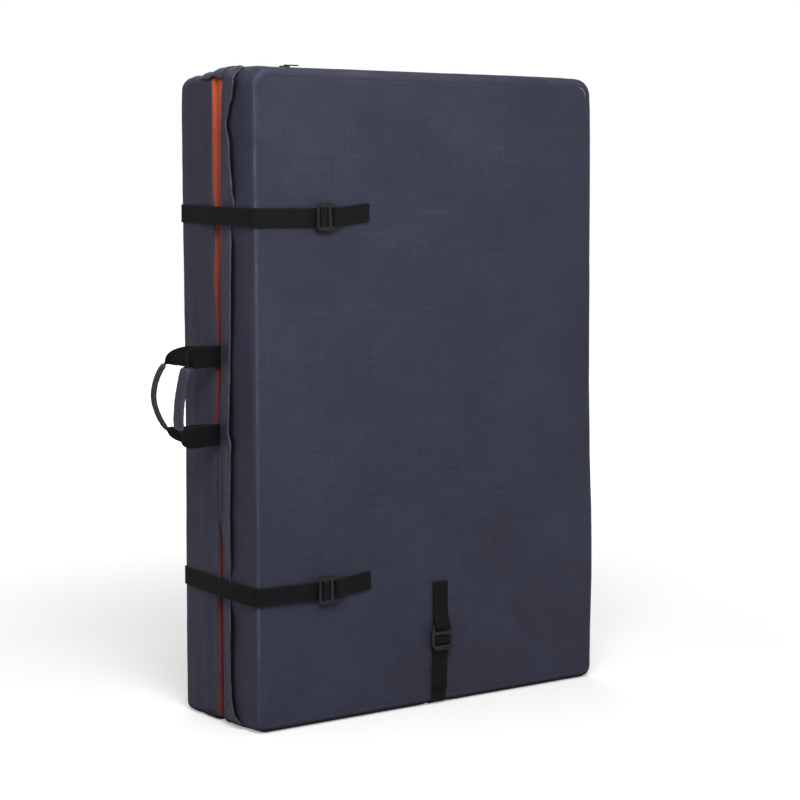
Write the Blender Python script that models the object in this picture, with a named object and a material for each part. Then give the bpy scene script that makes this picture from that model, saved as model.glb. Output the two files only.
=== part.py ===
"""A folding bouldering crash pad, shut and standing on its short edge, in metres, +Z up.

The open side faces -X, the fabric hinge is on +X, the front face looks along -Y and the carrying
harness is on +Y. The origin ends at the bottom centre of the whole part's box.
"""

import math

import bmesh
import bpy
from mathutils import Vector

# Closed pad
PAD_WIDTH = 0.593
PAD_HEIGHT = 0.8945
HALF_THICKNESS = 0.097
FOLD_GAP = 0.007
BACK_DROP = 0.0055
GAP = 0.0003
FABRIC = 0.0012

# Form of a half: crown, swelled bands, drawn-in edges and rounded corners
SIDE_BULGE = 0.0015
FACE_CROWN = 0.004
CROWN_REACH = 0.16
EDGE_DRAW = 0.0015
EDGE_RADIUS = 0.009
MOUTH_RADIUS = 0.006
MOUTH_RIM = 0.001
FRONT_CORNER_RADIUS = 0.026
BACK_CORNER_RADIUS = 0.020
MOUTH_CORNER_RADIUS = 0.012
LEAST_CORNER_RADIUS = 0.004

# Foam layers, from the landing side out
FIRM_FOAM = 0.020
BASE_FOAM = 0.012

# Webbing and the groove that the bottom strap presses into the pad
WEB_WIDTH = 0.025
WEB = 0.0016
STRAP_GAP = 0.0005
LAYER_GAP = 0.0004
GROOVE_DEPTH = 0.0026
GROOVE_SIDE = 0.002
GROOVE_SLOPE = 0.006

# Closure straps: heights, drift, and where each lies on the back
UPPER_STRAP_Z = 0.6935
LOWER_STRAP_Z = 0.186
BACK_RISE = 0.005
TAB_RISE = 0.006
BOTTOM_STRAP_X = 0.0066
STRAP_ANCHOR = 0.095
TAIL_INTO_BAND = 0.080
BOTTOM_TAIL_RISE = 0.022
SIDE_STAND_OFF = 0.0022
STRAP_OFF_START = 0.012
STRAP_OFF_END = 0.056

# Ladder-lock buckle, 25 mm
BUCKLE_FROM_EDGE = 0.091
BOTTOM_BUCKLE_FROM_EDGE = 0.0795
BUCKLE_LENGTH = 0.0365
BUCKLE_HALF_WIDTH = 0.019
BUCKLE_PLATE = 0.003
BUCKLE_CHAMFER = 0.0006
LIP_RISE = 0.003
SLOT_MARGIN = 0.0009
LIP_BAR = 0.0065
GRIP_BAR = 0.006
REST_BAR = 0.0045
END_BAR = 0.004
LIP_SLOT = 0.0045
MIDDLE_SLOT = 0.0045
WRAP_GAP = 0.0004
TAB_LENGTH = 0.0565
BOTTOM_TAB_LENGTH = 0.0625
TAB_TAPER = 0.016

# Closure flap
FLAP_LIFT = 0.006
FLAP_STRAP_REACH = 0.040
FLAP_STRAP_MARGIN = 0.002
FLAP_FOOT = 0.006
TOP_FLAP_BACK = 0.035
TOP_FLAP_FRONT = 0.022
TOP_FLAP_END = 0.020
TOP_FLAP_DROOP = 0.009
TOP_FLAP_OUT = 0.0027

# Carry handles
HANDLE_Z = 0.4475
HANDLE_SPREAD = 0.110
HANDLE_REACH = 0.088
HANDLE_SHOULDER = 0.073
HANDLE_BEND = 0.014
HANDLE_WEB_WIDTH = 0.029
HANDLE_GRIP_WIDTH = 0.015
HANDLE_GRIP = 0.0032
HANDLE_ROOT = 0.0055
HANDLE_HEM = 0.0008
HANDLE_HEM_GAP = 0.0005
HANDLE_HEM_LENGTH = 0.003
SLEEVE_WALL = 0.0014
FRONT_GRIP_WIDTH = 0.021

# Hinge strip and its turning axis
HINGE_OUT = 0.003
HINGE_STRIP_HALF = 0.020
HINGE_STRIP = 0.0014
HINGE_END = 0.020

# Cover zips on the top bands
ZIP_LENGTH = 0.440
ZIP_TAPE_WIDTH = 0.026
ZIP_TAPE = 0.0008
ZIP_COIL_WIDTH = 0.005
ZIP_COIL = 0.0014
ZIP_BACK_DEPTH = 0.052
ZIP_FRONT_DEPTH = 0.038
SLIDER_LENGTH = 0.012
SLIDER_WIDTH = 0.009
SLIDER_WALL = 0.0012
PULL_LENGTH = 0.022
PULL_WIDTH = 0.007
PULL = 0.0014
PULL_NECK = 0.0035

# Shoulder harness on the back face
YOKE_FROM_TOP = 0.099
YOKE_HEIGHT = 0.052
YOKE_HALF_WIDTH = 0.100
YOKE = 0.0020
PAD_TOP_X = 0.050
PAD_END_X = 0.108
SHOULDER_DROP = 0.308
PAD_BOW = 0.030
SHOULDER_HALF_WIDTH = 0.031
SHOULDER_THICKNESS = 0.011
SHOULDER_THIN = 0.0022
LOWER_ANCHOR_X = 0.150
LOWER_ANCHOR_Z = 0.222
SHOULDER_TAB = 0.030
LOWER_TAIL = 0.075

# Belt and its side-release buckle
BELT_Z = 0.135
BELT_WIDTH = 0.038
BELT_END = 0.262
BELT_TAIL = 0.085
BELT_FOLD = 0.045
PLUG_LENGTH = 0.032
PLUG_RAIL = 0.0045
PRONG_LENGTH = 0.031
PRONG_WIDTH = 0.0055
PRONG_CLEARANCE = 0.0006
GUIDE_WIDTH = 0.0045
SOCKET_LENGTH = 0.050
SOCKET_ROOM = 0.042
SOCKET_HEIGHT = 0.011
SOCKET_WALL = 0.0018
SOCKET_FLARE = 0.0015
SOCKET_CHAMFER = 0.0012
SOCKET_BAR_END = 0.0135
SOCKET_SLOT = 0.0065
OVERRUN = 0.004

# Counts and shares
CORNER_STEPS = 4
ARC_STEPS = 4
LOOP_STEPS = 3
FLAP_STEPS = 5
TOP_FLAP_STEPS = 6
HINGE_ROWS = 8
WRAP_CUT_SHARE = 0.5
BAND_SHARES = (0.25, 0.5, 0.75)
FACE_INSET_SHARES = (0.07, 0.16, 0.3, 0.46, 0.64, 0.9)
TOP_POINT_SHARES = (-0.75, -0.35, 0.0, 0.35, 0.75)
SIDE_POINT_SHARES = (-0.8, -0.5, -0.17, 0.17, 0.5, 0.8)
BOTTOM_POINT_SHARES = (-0.75, -0.35, 0.35, 0.75)
# height share of the front half, and how far the flap's free edge reaches over the band, as a share of the band
FLAP_EDGE_SHARES = (
    (0.0, 0.72), (0.007, 0.57), (0.0145, 0.48), (0.022, 0.39), (0.045, 0.34), (0.10, 0.32), (0.19, 0.32),
    (0.29, 0.35), (0.41, 0.375), (0.434, 0.395), (0.453, 0.33), (0.488, 0.375), (0.55, 0.40), (0.61, 0.41),
    (0.70, 0.45), (0.755, 0.46), (0.797, 0.56), (0.816, 0.505), (0.855, 0.45), (0.886, 0.43), (0.916, 0.375),
    (0.934, 0.42), (0.957, 0.51), (0.978, 0.56), (1.0, 0.64),
)
FLAP_EASE_SHARE = 0.6
BUCKLE_OUTLINE_SHARES = (
    (0.0, 0.60), (0.05, 0.76), (0.13, 0.89), (0.24, 0.97), (0.4, 1.0), (0.6, 1.0), (0.76, 0.96), (0.88, 0.88),
    (0.96, 0.80), (1.0, 0.74),
)
# lean of each handle out of the band, as a share of a right angle
BACK_HANDLE_LEAN_SHARE = 0.331
FRONT_HANDLE_LEAN_SHARE = -0.1655
HANDLE_ARM_SHARES = (0.5, 1.0)
HANDLE_GRIP_SHARES = (0.86, 0.72, 0.48, 0.24)
HANDLE_TWIST_SHARE = 0.7
HANDLE_STEPS = 4
SHOULDER_STEPS = 10
SHOULDER_EASE_SHARES = (0.2, 0.17)
SHOULDER_SECTION_SHARES = (
    (-1, 0.3), (-0.94, 0), (0.94, 0), (1, 0.3), (1, 0.6), (0.8, 0.9), (0.35, 1), (-0.35, 1), (-0.8, 0.9), (-1, 0.6),
)
PULL_SHARES = ((0, 0), (0.25, 0), (0.4, 1), (0.9, 1), (1, 0))
PLUG_SQUARE_SHARE = 0.5
SOCKET_WAIST_SHARES = (0.3, 0.62)
SOCKET_WINDOW_SHARES = (0.28, 0.72)

EDGE_DEPTH = FOLD_GAP / 2 + HALF_THICKNESS - FACE_CROWN
BAND_START = FOLD_GAP / 2 + MOUTH_RADIUS + MOUTH_RIM + GAP
BASE_HALF_WIDTH = PAD_WIDTH / 2 - SIDE_BULGE
FOLD_Y = -(BAND_START + EDGE_DEPTH - EDGE_RADIUS) / 2
OPEN_X = -PAD_WIDTH / 2
BACK_TOP = PAD_HEIGHT - BACK_DROP
YOKE_TOP = BACK_TOP - YOKE_FROM_TOP
YOKE_BOTTOM = YOKE_TOP - YOKE_HEIGHT
PAD_END_Z = YOKE_BOTTOM - SHOULDER_DROP
FLAP_TOP = BACK_TOP + FABRIC / 2 - TOP_FLAP_DROOP - GAP
HANDLE_OFF = WEB / 2 + GAP
X, Y, Z = Vector((1, 0, 0)), Vector((0, 1, 0)), Vector((0, 0, 1))

for old in list(bpy.data.objects):
    bpy.data.objects.remove(old, do_unlink=True)


def material(name, colour, roughness, metallic=0.0):
    made = bpy.data.materials.new(name)
    made.use_nodes = True
    shader = made.node_tree.nodes["Principled BSDF"]
    shader.inputs["Base Color"].default_value = (*colour, 1)
    shader.inputs["Roughness"].default_value = roughness
    shader.inputs["Metallic"].default_value = metallic
    return made


SLATE = material("slate_fabric", (0.060, 0.063, 0.095), 0.75)
ORANGE = material("orange_fabric", (0.80, 0.19, 0.05), 0.7)
BLACK_WEB = material("black_webbing", (0.012, 0.012, 0.014), 0.8)
GREY_WEB = material("grey_webbing", (0.07, 0.07, 0.075), 0.8)
BLACK_PLASTIC = material("black_plastic", (0.018, 0.018, 0.02), 0.4)
FIRM = material("firm_foam", (0.20, 0.20, 0.21), 0.9)
SOFT = material("soft_foam", (0.75, 0.73, 0.62), 0.95)
ZIP_METAL = material("zip_metal", (0.45, 0.45, 0.46), 0.35, 1.0)


class Body:
    """A group of pieces that move as one, with its pivot in world space."""

    def __init__(self, name, pivot=(0, 0, 0), axis=(0, 0, 1), parent=None):
        self.pivot = Vector(pivot)
        self.axis = Vector(axis)
        self.empty = bpy.data.objects.new("pivot_" + name, None)
        self.empty["axis"] = [*self.axis]
        bpy.context.scene.collection.objects.link(self.empty)
        self.empty.location = self.pivot - (parent.pivot if parent else Vector())
        self.empty.parent = parent.empty if parent else None


def emit(name, verts, faces, finish, body, smooth=True):
    """Makes one closed object from points in world space."""
    mesh = bpy.data.meshes.new(name)
    mesh.from_pydata([tuple(Vector(v) - body.pivot) for v in verts], [], faces)
    work = bmesh.new()
    work.from_mesh(mesh)
    bmesh.ops.recalc_face_normals(work, faces=work.faces)
    if work.calc_volume(signed=True) < 0:
        bmesh.ops.reverse_faces(work, faces=work.faces)
    work.to_mesh(mesh)
    work.free()
    mesh.polygons.foreach_set("use_smooth", [smooth] * len(mesh.polygons))
    mesh.materials.append(finish)
    obj = bpy.data.objects.new(name, mesh)
    bpy.context.scene.collection.objects.link(obj)
    obj.parent = body.empty
    return obj


def loft(name, rings, finish, body, smooth=True, closed=False):
    """Skins rings of equal count. An open row gets a cap at each end, a closed row none."""
    count = len(rings[0])
    verts = [p for ring in rings for p in ring]
    faces = []
    spans = len(rings) if closed else len(rings) - 1
    for i in range(spans):
        a, b = i * count, (i + 1) % len(rings) * count
        faces += [(a + k, a + (k + 1) % count, b + (k + 1) % count, b + k) for k in range(count)]
    if not closed:
        faces.append(tuple(range(count)))
        faces.append(tuple(range(len(verts) - count, len(verts))))
    return emit(name, verts, faces, finish, body, smooth)


def sheet(name, grid, thickness, finish, body):
    """A cloth of even thickness on a grid of middle points."""
    rows, cols = len(grid), len(grid[0])

    def normal(i, j):
        down = grid[min(i + 1, rows - 1)][j] - grid[max(i - 1, 0)][j]
        along = grid[i][min(j + 1, cols - 1)] - grid[i][max(j - 1, 0)]
        return down.cross(along).normalized() * thickness / 2

    verts = [grid[i][j] + normal(i, j) for i in range(rows) for j in range(cols)]
    verts += [grid[i][j] - normal(i, j) for i in range(rows) for j in range(cols)]
    under = rows * cols
    faces = []
    for i in range(rows - 1):
        for j in range(cols - 1):
            quad = (i * cols + j, i * cols + j + 1, (i + 1) * cols + j + 1, (i + 1) * cols + j)
            faces += [quad, tuple(under + k for k in reversed(quad))]
    rim = [j for j in range(cols)]
    rim += [i * cols + cols - 1 for i in range(1, rows)]
    rim += [(rows - 1) * cols + j for j in range(cols - 2, -1, -1)]
    rim += [i * cols for i in range(rows - 2, 0, -1)]
    for a, b in zip(rim, rim[1:] + rim[:1]):
        faces.append((a, under + a, under + b, b))
    return emit(name, verts, faces, finish, body)


def band_rings(points, across, widths, thicks):
    """Rectangles along a path, mitred, with each one's width along its own direction."""
    rings = []
    for i, p in enumerate(points):
        before = (p - points[i - 1]).normalized() if i else None
        after = (points[i + 1] - p).normalized() if i + 1 < len(points) else None
        first = (before or after).cross(across[i]).normalized()
        second = (after or before).cross(across[i]).normalized()
        out = (first + second).normalized()
        out = out / max(out.dot(first), math.cos(math.pi / 4))
        side = across[i] * widths[i] / 2
        lift = out * thicks[i] / 2
        rings.append([p - side - lift, p + side - lift, p + side + lift, p - side + lift])
    return rings


def webbing(name, points, across, width, finish, body, thick=WEB):
    count = len(points)
    rings = band_rings(points, [across] * count, [width] * count, [thick] * count)
    return loft(name, rings, finish, body, smooth=False)


def arc(steps=ARC_STEPS):
    return [math.pi / 2 * k / steps for k in range(steps + 1)]


def face_rise(inset):
    """Height of the crown at this distance from the outline."""
    share = min(inset / CROWN_REACH, 1)
    return FACE_CROWN * (1 - (1 - share) ** 2)


def band_swell(depth):
    """How far the faceted band bulges at this depth from the fold plane."""
    last = EDGE_DEPTH - EDGE_RADIUS
    knots = [0, *BAND_SHARES, 1]
    share = min(max((depth - BAND_START) / (last - BAND_START), 0), 1)
    for a, b in zip(knots, knots[1:]):
        if share <= b:
            low, high = math.sin(math.pi * a), math.sin(math.pi * b)
            return SIDE_BULGE * (low + (high - low) * (share - a) / (b - a))
    return 0


FACE_INSETS = [EDGE_RADIUS + share * (BASE_HALF_WIDTH - EDGE_RADIUS) for share in FACE_INSET_SHARES]


def face_depth(inset):
    """Depth of the faceted outer face, which runs straight from ring to ring."""
    knots = [EDGE_RADIUS, *FACE_INSETS]
    rises = [0, *(face_rise(k) for k in FACE_INSETS)]
    inset = min(max(inset, knots[0]), knots[-1])
    for (a, b), (low, high) in zip(zip(knots, knots[1:]), zip(rises, rises[1:])):
        if inset <= b:
            return EDGE_DEPTH + low + (high - low) * (inset - a) / (b - a)
    return EDGE_DEPTH + rises[-1]


class Half:
    """One half of the pad, with the rings that all its pieces share."""

    def __init__(self, side, top, corner, body):
        self.side, self.top, self.corner, self.body = side, top, corner, body
        self.inner = side * FOLD_GAP / 2

    def ring(self, depth, inset, swell=0.0, draw=0.0, dent=0.0, corner=None):
        """The outline at this depth from the fold plane, moved in by inset."""
        corner = corner or self.corner
        radius = max(corner - inset, LEAST_CORNER_RADIUS)
        widest = max(self.corner, MOUTH_CORNER_RADIUS)
        half = BASE_HALF_WIDTH - inset + swell
        low, high = inset, self.top - SIDE_BULGE - inset + swell
        deeper = max(0, inset + LEAST_CORNER_RADIUS - widest)
        reach_x = BASE_HALF_WIDTH - widest - deeper
        mid, reach_z = (self.top - SIDE_BULGE) / 2, (self.top - SIDE_BULGE) / 2 - widest - deeper
        grooves = [s * (WEB_WIDTH / 2 + GROOVE_SIDE) for s in (-1, 1)]
        grooves += [s * (WEB_WIDTH / 2 + GROOVE_SIDE + GROOVE_SLOPE) for s in (-1, 1)]
        bottom = sorted([s * reach_x for s in BOTTOM_POINT_SHARES] + [BOTTOM_STRAP_X + g for g in grooves])
        if deeper:
            bottom = [x * reach_x / (BASE_HALF_WIDTH - widest) for x in bottom]
        points = []

        def turn(cx, cz, start):
            for k in range(CORNER_STEPS + 1):
                a = start + math.pi / 2 * k / CORNER_STEPS
                points.append((cx + radius * math.cos(a), cz + radius * math.sin(a)))

        turn(-half + radius, low + radius, math.pi)
        for x in bottom:
            pressed = abs(x - BOTTOM_STRAP_X) < WEB_WIDTH / 2 + GROOVE_SIDE + GROOVE_SLOPE / 2
            points.append((x, low + (GROOVE_DEPTH * dent if pressed else 0)))
        turn(half - radius, low + radius, -math.pi / 2)
        for s in SIDE_POINT_SHARES:
            points.append((half - draw * (1 - s * s), mid + s * reach_z))
        turn(half - radius, high - radius, 0)
        for s in reversed(TOP_POINT_SHARES):
            points.append((s * reach_x, high - draw * (1 - s * s)))
        turn(-half + radius, high - radius, math.pi / 2)
        for s in reversed(SIDE_POINT_SHARES):
            points.append((-half + draw * (1 - s * s), mid + s * reach_z))
        return [Vector((x, FOLD_Y + self.side * depth, z)) for x, z in points]

    def corner_at(self, depth):
        share = min(max((depth - BAND_START) / (EDGE_DEPTH - BAND_START), 0), 1)
        return MOUTH_CORNER_RADIUS + share * (self.corner - MOUTH_CORNER_RADIUS)

    def mouth_rings(self, offset, angles):
        """From the flat landing face out round the rounding to the band."""
        rings = []
        for a in reversed(angles):
            inset = MOUTH_RADIUS - (MOUTH_RADIUS - offset) * math.cos(a)
            depth = FOLD_GAP / 2 + MOUTH_RADIUS - (MOUTH_RADIUS - offset) * math.sin(a)
            rings.append(self.ring(depth, inset, dent=math.cos(a), corner=MOUTH_CORNER_RADIUS))
        return rings

    def edge_rings(self, offset, angles):
        """Round the outer edge, from the band to the face."""
        rings = []
        for a in angles:
            inset = EDGE_RADIUS - (EDGE_RADIUS - offset) * math.cos(a)
            depth = EDGE_DEPTH - EDGE_RADIUS + (EDGE_RADIUS - offset) * math.sin(a)
            rings.append(self.ring(depth, inset, draw=EDGE_DRAW * math.sin(a), dent=math.cos(a)))
        return rings

    def face_rings(self, offset):
        return [self.ring(face_depth(i) - offset, i) for i in FACE_INSETS]

    def band(self, offset, shares):
        rings = []
        last = EDGE_DEPTH - EDGE_RADIUS
        for s in shares:
            depth = BAND_START + s * (last - BAND_START)
            swell = SIDE_BULGE * math.sin(math.pi * s)
            rings.append(self.ring(depth, offset, swell=swell, dent=1, corner=self.corner_at(depth)))
        return rings

    def cover(self, name):
        wall = FABRIC
        outer = list(reversed(self.face_rings(0))) + list(reversed(self.edge_rings(0, arc())))
        outer += list(reversed(self.band(0, BAND_SHARES)))
        outer.append(self.ring(BAND_START, 0, dent=1, corner=MOUTH_CORNER_RADIUS))
        inner = [self.ring(BAND_START, wall, dent=1, corner=MOUTH_CORNER_RADIUS)]
        inner += self.band(wall, BAND_SHARES) + self.edge_rings(wall, arc(2)) + self.face_rings(wall)
        return loft(name, outer + inner, SLATE, self.body)

    def landing(self, name):
        """The landing panel, with its edge turned over to the seam."""
        rim = FOLD_GAP / 2 + MOUTH_RADIUS + MOUTH_RIM
        outer = self.mouth_rings(0, arc(3))
        outer.append(self.ring(rim, 0, dent=1, corner=MOUTH_CORNER_RADIUS))
        inner = [self.ring(rim, FABRIC, dent=1, corner=MOUTH_CORNER_RADIUS)]
        inner += list(reversed(self.mouth_rings(FABRIC, arc(2))))
        return loft(name, outer + inner, ORANGE, self.body)

    def foams(self, names):
        """Firm landing layer, soft core and base layer, a clearance apart inside the cover."""
        skin = FABRIC + GAP
        first = FOLD_GAP / 2 + skin
        second = first + FIRM_FOAM
        last = EDGE_DEPTH - skin - BASE_FOAM
        firm = self.mouth_rings(skin + GAP, arc(2))
        firm += [self.ring(second, skin, dent=1, corner=self.corner_at(second))]
        loft(names[0], firm, FIRM, self.body)
        core = [self.ring(second + GAP, skin, dent=1), self.ring(last, skin, dent=1)]
        loft(names[1], core, SOFT, self.body)
        base = [self.ring(last + GAP, skin, dent=1)]
        base += self.edge_rings(skin, arc(2)) + self.face_rings(skin)
        loft(names[2], base, FIRM, self.body)


back_half = Body("back_half")
front_half = Body("front_half", (PAD_WIDTH / 2 + HINGE_OUT, FOLD_Y, 0))
back = Half(1, BACK_TOP, BACK_CORNER_RADIUS, back_half)
front = Half(-1, PAD_HEIGHT, FRONT_CORNER_RADIUS, front_half)
for half, word in ((back, "back"), (front, "front")):
    half.cover("cover_" + word)
    half.landing("landing_" + word)
    half.foams(["foam_top_" + word, "foam_core_" + word, "foam_base_" + word])


class Lay:
    """A local frame on a face: u along the strap towards its anchor tab, v across, w out of the face."""

    def __init__(self, origin, along, across, out):
        self.origin, self.along, self.across, self.out = Vector(origin), along, across, out

    def at(self, u, v, w):
        return self.origin + self.along * u + self.across * v + self.out * w


# Places along a buckle, from its lip, and its height over the face
LIP_SLOT_START = LIP_BAR
GRIP_START = LIP_SLOT_START + LIP_SLOT
GRIP_END = GRIP_START + GRIP_BAR
REST_START = GRIP_END + MIDDLE_SLOT
END_START = BUCKLE_LENGTH - END_BAR
END_AXIS = BUCKLE_LENGTH - END_BAR / 2
STRAP_W = STRAP_GAP + WEB / 2
TAIL_W = STRAP_W + WEB + LAYER_GAP
PLATE_BOTTOM = TAIL_W + WEB / 2 + LAYER_GAP
PLATE_TOP = PLATE_BOTTOM + BUCKLE_PLATE
PLATE_MIDDLE = PLATE_BOTTOM + BUCKLE_PLATE / 2
END_LOOP = math.hypot(END_BAR, BUCKLE_PLATE) / 2 + WRAP_GAP + WEB / 2


def slot_cut(obj, lay, body, start, end, half_width):
    """Cuts a slot through a plate with a box that overruns both faces."""
    corners = []
    for w in (PLATE_BOTTOM - OVERRUN, PLATE_TOP + OVERRUN):
        corners.append([lay.at(u, v, w) for u, v in (
            (start, -half_width), (end, -half_width), (end, half_width), (start, half_width))])
    cutter = loft("cut_" + obj.name, corners, BLACK_PLASTIC, body, smooth=False)
    cutter.hide_render = True
    cutter.display_type = "WIRE"
    cut = obj.modifiers.new("slot", "BOOLEAN")
    cut.operation = "DIFFERENCE"
    cut.solver = "EXACT"
    cut.object = cutter


def frame_rings(lay, length, half_width, outline):
    """Cross sections of a moulded frame with chamfered edges and a raised lip."""
    rings = []
    for share, wide in outline:
        u, v = share * length, wide * half_width
        lift = LIP_RISE * max(0, 1 - u / LIP_BAR) ** 2
        low, high, c = PLATE_BOTTOM + lift, PLATE_TOP + lift, BUCKLE_CHAMFER
        section = ((-v, low + c), (c - v, low), (v - c, low), (v, low + c),
                   (v, high - c), (v - c, high), (c - v, high), (-v, high - c))
        rings.append([lay.at(u, a, w) for a, w in section])
    return rings


def ladder_lock(name, lay, body, web_width=WEB_WIDTH):
    """A moulded ladder lock: lip bar, grip bar, rest bar and end bar, with three slots between."""
    grown = BUCKLE_HALF_WIDTH + (web_width - WEB_WIDTH) / 2
    obj = loft(name, frame_rings(lay, BUCKLE_LENGTH, grown, BUCKLE_OUTLINE_SHARES), BLACK_PLASTIC, body, False)
    half = web_width / 2 + SLOT_MARGIN
    for start, end in ((LIP_SLOT_START, GRIP_START), (GRIP_END, REST_START), (REST_START + REST_BAR, END_START)):
        slot_cut(obj, lay, body, start, end, half)
    return obj


def thread(tail):
    """The strap's middle line round the grip bar, then back under the lip as far as u = tail."""
    middle = (GRIP_START + GRIP_END) / 2
    wrap = WRAP_GAP + WEB / 2
    reach = GRIP_BAR / 2 + wrap
    over = PLATE_TOP + wrap
    cut = wrap * WRAP_CUT_SHARE
    line = [(GRIP_START, STRAP_W), (middle + reach / 2, STRAP_W), (middle + reach, STRAP_W + WEB)]
    line += [(middle + reach, over - cut), (middle + reach - cut, over)]
    line += [(middle - reach + cut, over), (middle - reach, over - cut)]
    line += [(middle - reach, PLATE_BOTTOM + WEB / 2), (middle - reach - WEB, TAIL_W), (0, TAIL_W)]
    return line + [(u, TAIL_W) for u in tail]


def tab_line(length, axis=END_AXIS, folded=None):
    """An anchor tab's middle line: in along the face, round the end bar and back on itself."""
    line = [(axis + length, STRAP_W), (axis + END_LOOP, STRAP_W)]
    for k in range(-LOOP_STEPS, LOOP_STEPS + 1):
        a = math.pi / 2 * k / LOOP_STEPS
        line.append((axis - END_LOOP * math.cos(a), PLATE_MIDDLE + END_LOOP * math.sin(a)))
    return line + [(axis + TAB_TAPER, TAIL_W), (axis + (folded or length), TAIL_W)]


def tab_length(kind):
    return BOTTOM_TAB_LENGTH if kind == "bottom" else TAB_LENGTH


def front_lay(kind, height):
    """The frame of a closure buckle on the front face, with u from the buckle's lip."""
    start = BOTTOM_BUCKLE_FROM_EDGE if kind == "bottom" else BUCKLE_FROM_EDGE
    base = 0 if kind == "bottom" else SIDE_BULGE
    y = FOLD_Y - face_depth(start - base + END_AXIS + tab_length(kind))
    if kind == "bottom":
        return Lay((BOTTOM_STRAP_X, y, start), Z, X, -Y)
    return Lay((OPEN_X + start, y, height), X, Z, -Y)


def closure_line(kind):
    """The closure strap in the plane across the pad's edge: (distance in from the edge, depth from the fold)."""
    bottom = kind == "bottom"
    base = 0 if bottom else SIDE_BULGE
    run = GAP + WEB / 2 if bottom else -(SIDE_STAND_OFF + WEB / 2)
    start = BOTTOM_BUCKLE_FROM_EDGE if bottom else BUCKLE_FROM_EDGE
    lift = face_depth(start - base + END_AXIS + tab_length(kind))
    knots = [base + k for k in FACE_INSETS]
    anchor = base + EDGE_RADIUS + STRAP_ANCHOR
    line = [(anchor, face_depth(anchor - base) + STRAP_W)]
    line += [(k, face_depth(k - base) + STRAP_W) for k in reversed(knots) if k < anchor - WEB]

    def corner(extra, sign):
        centre_e, centre_d = base + EDGE_RADIUS, EDGE_DEPTH - EDGE_RADIUS
        out = EDGE_RADIUS + STRAP_W + extra
        across = centre_e - run + extra if bottom else out
        return [(centre_e - across * math.cos(a), sign * (centre_d + out * math.sin(a))) for a in arc(5)]

    def over_flap(extra):
        return [] if bottom else [(run - extra, STRAP_OFF_START), (run - extra, -STRAP_OFF_END)]

    line += list(reversed(corner(0, 1))) + over_flap(0) + corner(0, -1)
    line += [(k, -(face_depth(k - base) + STRAP_W)) for k in knots if k < start - WEB]
    threaded = [(start + u, -(lift + w)) for u, w in thread([])]
    line += threaded
    raised = WEB + LAYER_GAP
    line += [(k, -(face_depth(k - base) + STRAP_W + raised)) for k in reversed(knots)
             if BOTTOM_TAIL_RISE * bottom < k < start - WEB]
    if bottom:
        line.append((BOTTOM_TAIL_RISE, -(face_depth(BOTTOM_TAIL_RISE) + STRAP_W + raised)))
    else:
        line += list(reversed(corner(raised, -1)))
        line += [over_flap(raised)[1], (run - raised, -(EDGE_DEPTH - EDGE_RADIUS - TAIL_INTO_BAND))]
    return line


def closure_strap(kind, height, body):
    line = closure_line(kind)
    if kind == "bottom":
        points = [Vector((BOTTOM_STRAP_X, FOLD_Y + d, e)) for e, d in line]
        return webbing("strap_bottom", points, X, WEB_WIDTH, BLACK_WEB, body)
    points = []
    for e, d in line:
        share = min(max((d + EDGE_DEPTH) / (2 * EDGE_DEPTH), 0), 1)
        points.append(Vector((OPEN_X + e, FOLD_Y + d, height + BACK_RISE * share)))
    return webbing("strap_" + kind, points, Z, WEB_WIDTH, BLACK_WEB, body)


def closure_tab(kind, lay):
    points = []
    for u, w in tab_line(tab_length(kind)):
        share = max(0, (u - END_AXIS) / tab_length(kind))
        points.append(lay.at(u, TAB_RISE * share if kind != "bottom" else 0, w))
    return webbing("tab_" + kind, points, lay.across, WEB_WIDTH, BLACK_WEB, front_half)


STRAP_TURN = EDGE_DEPTH + STRAP_W
for kind, height in (("upper", UPPER_STRAP_Z), ("lower", LOWER_STRAP_Z), ("bottom", 0)):
    lay = front_lay(kind, height)
    if kind == "bottom":
        turning = (0, FOLD_Y + STRAP_TURN, GAP + WEB / 2)
        strap_body = Body("strap_" + kind, turning, X, back_half)
    else:
        turning = (OPEN_X - SIDE_STAND_OFF, FOLD_Y + STRAP_TURN, height)
        strap_body = Body("strap_" + kind, turning, -Z, back_half)
    buckle_body = Body("buckle_" + kind, lay.at(END_AXIS, 0, PLATE_MIDDLE), lay.across, front_half)
    closure_strap(kind, height, strap_body)
    ladder_lock("buckle_" + kind, lay, buckle_body)
    closure_tab(kind, lay)


def flap_reach(z):
    """Free edge of the side flap: how far it reaches over the band at this height."""
    share = min(max(z / PAD_HEIGHT, 0), 1)
    for (a, low), (b, high) in zip(FLAP_EDGE_SHARES, FLAP_EDGE_SHARES[1:]):
        if share <= b:
            part = (share - a) / (b - a)
            return (low + (high - low) * part) * (EDGE_DEPTH - BAND_START)
    return FLAP_EDGE_SHARES[-1][1] * (EDGE_DEPTH - BAND_START)


def corner_inset(z, radius):
    """How far a rounded bottom corner draws in from the band at this height."""
    rise = max(radius - z, 0)
    return radius - math.sqrt(radius * radius - rise * rise)


def flap_rows():
    """Heights of the flap's rows, and how far each is free of the straps that hold it down."""
    rows = [(FLAP_FOOT + share * (FLAP_TOP - FLAP_FOOT), 1) for share, _ in FLAP_EDGE_SHARES]
    held = WEB_WIDTH / 2 + FLAP_STRAP_MARGIN
    for strap in (UPPER_STRAP_Z, LOWER_STRAP_Z):
        rows = [(z, free) for z, free in rows if abs(z - strap) > FLAP_STRAP_REACH]
        rows += [(strap + side * held, 0) for side in (-1, 1)]
        rows += [(strap + side * (held + FLAP_STRAP_REACH) / 2, FLAP_EASE_SHARE) for side in (-1, 1)]
        rows += [(strap + side * FLAP_STRAP_REACH, 1) for side in (-1, 1)]
    return sorted(rows)


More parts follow.
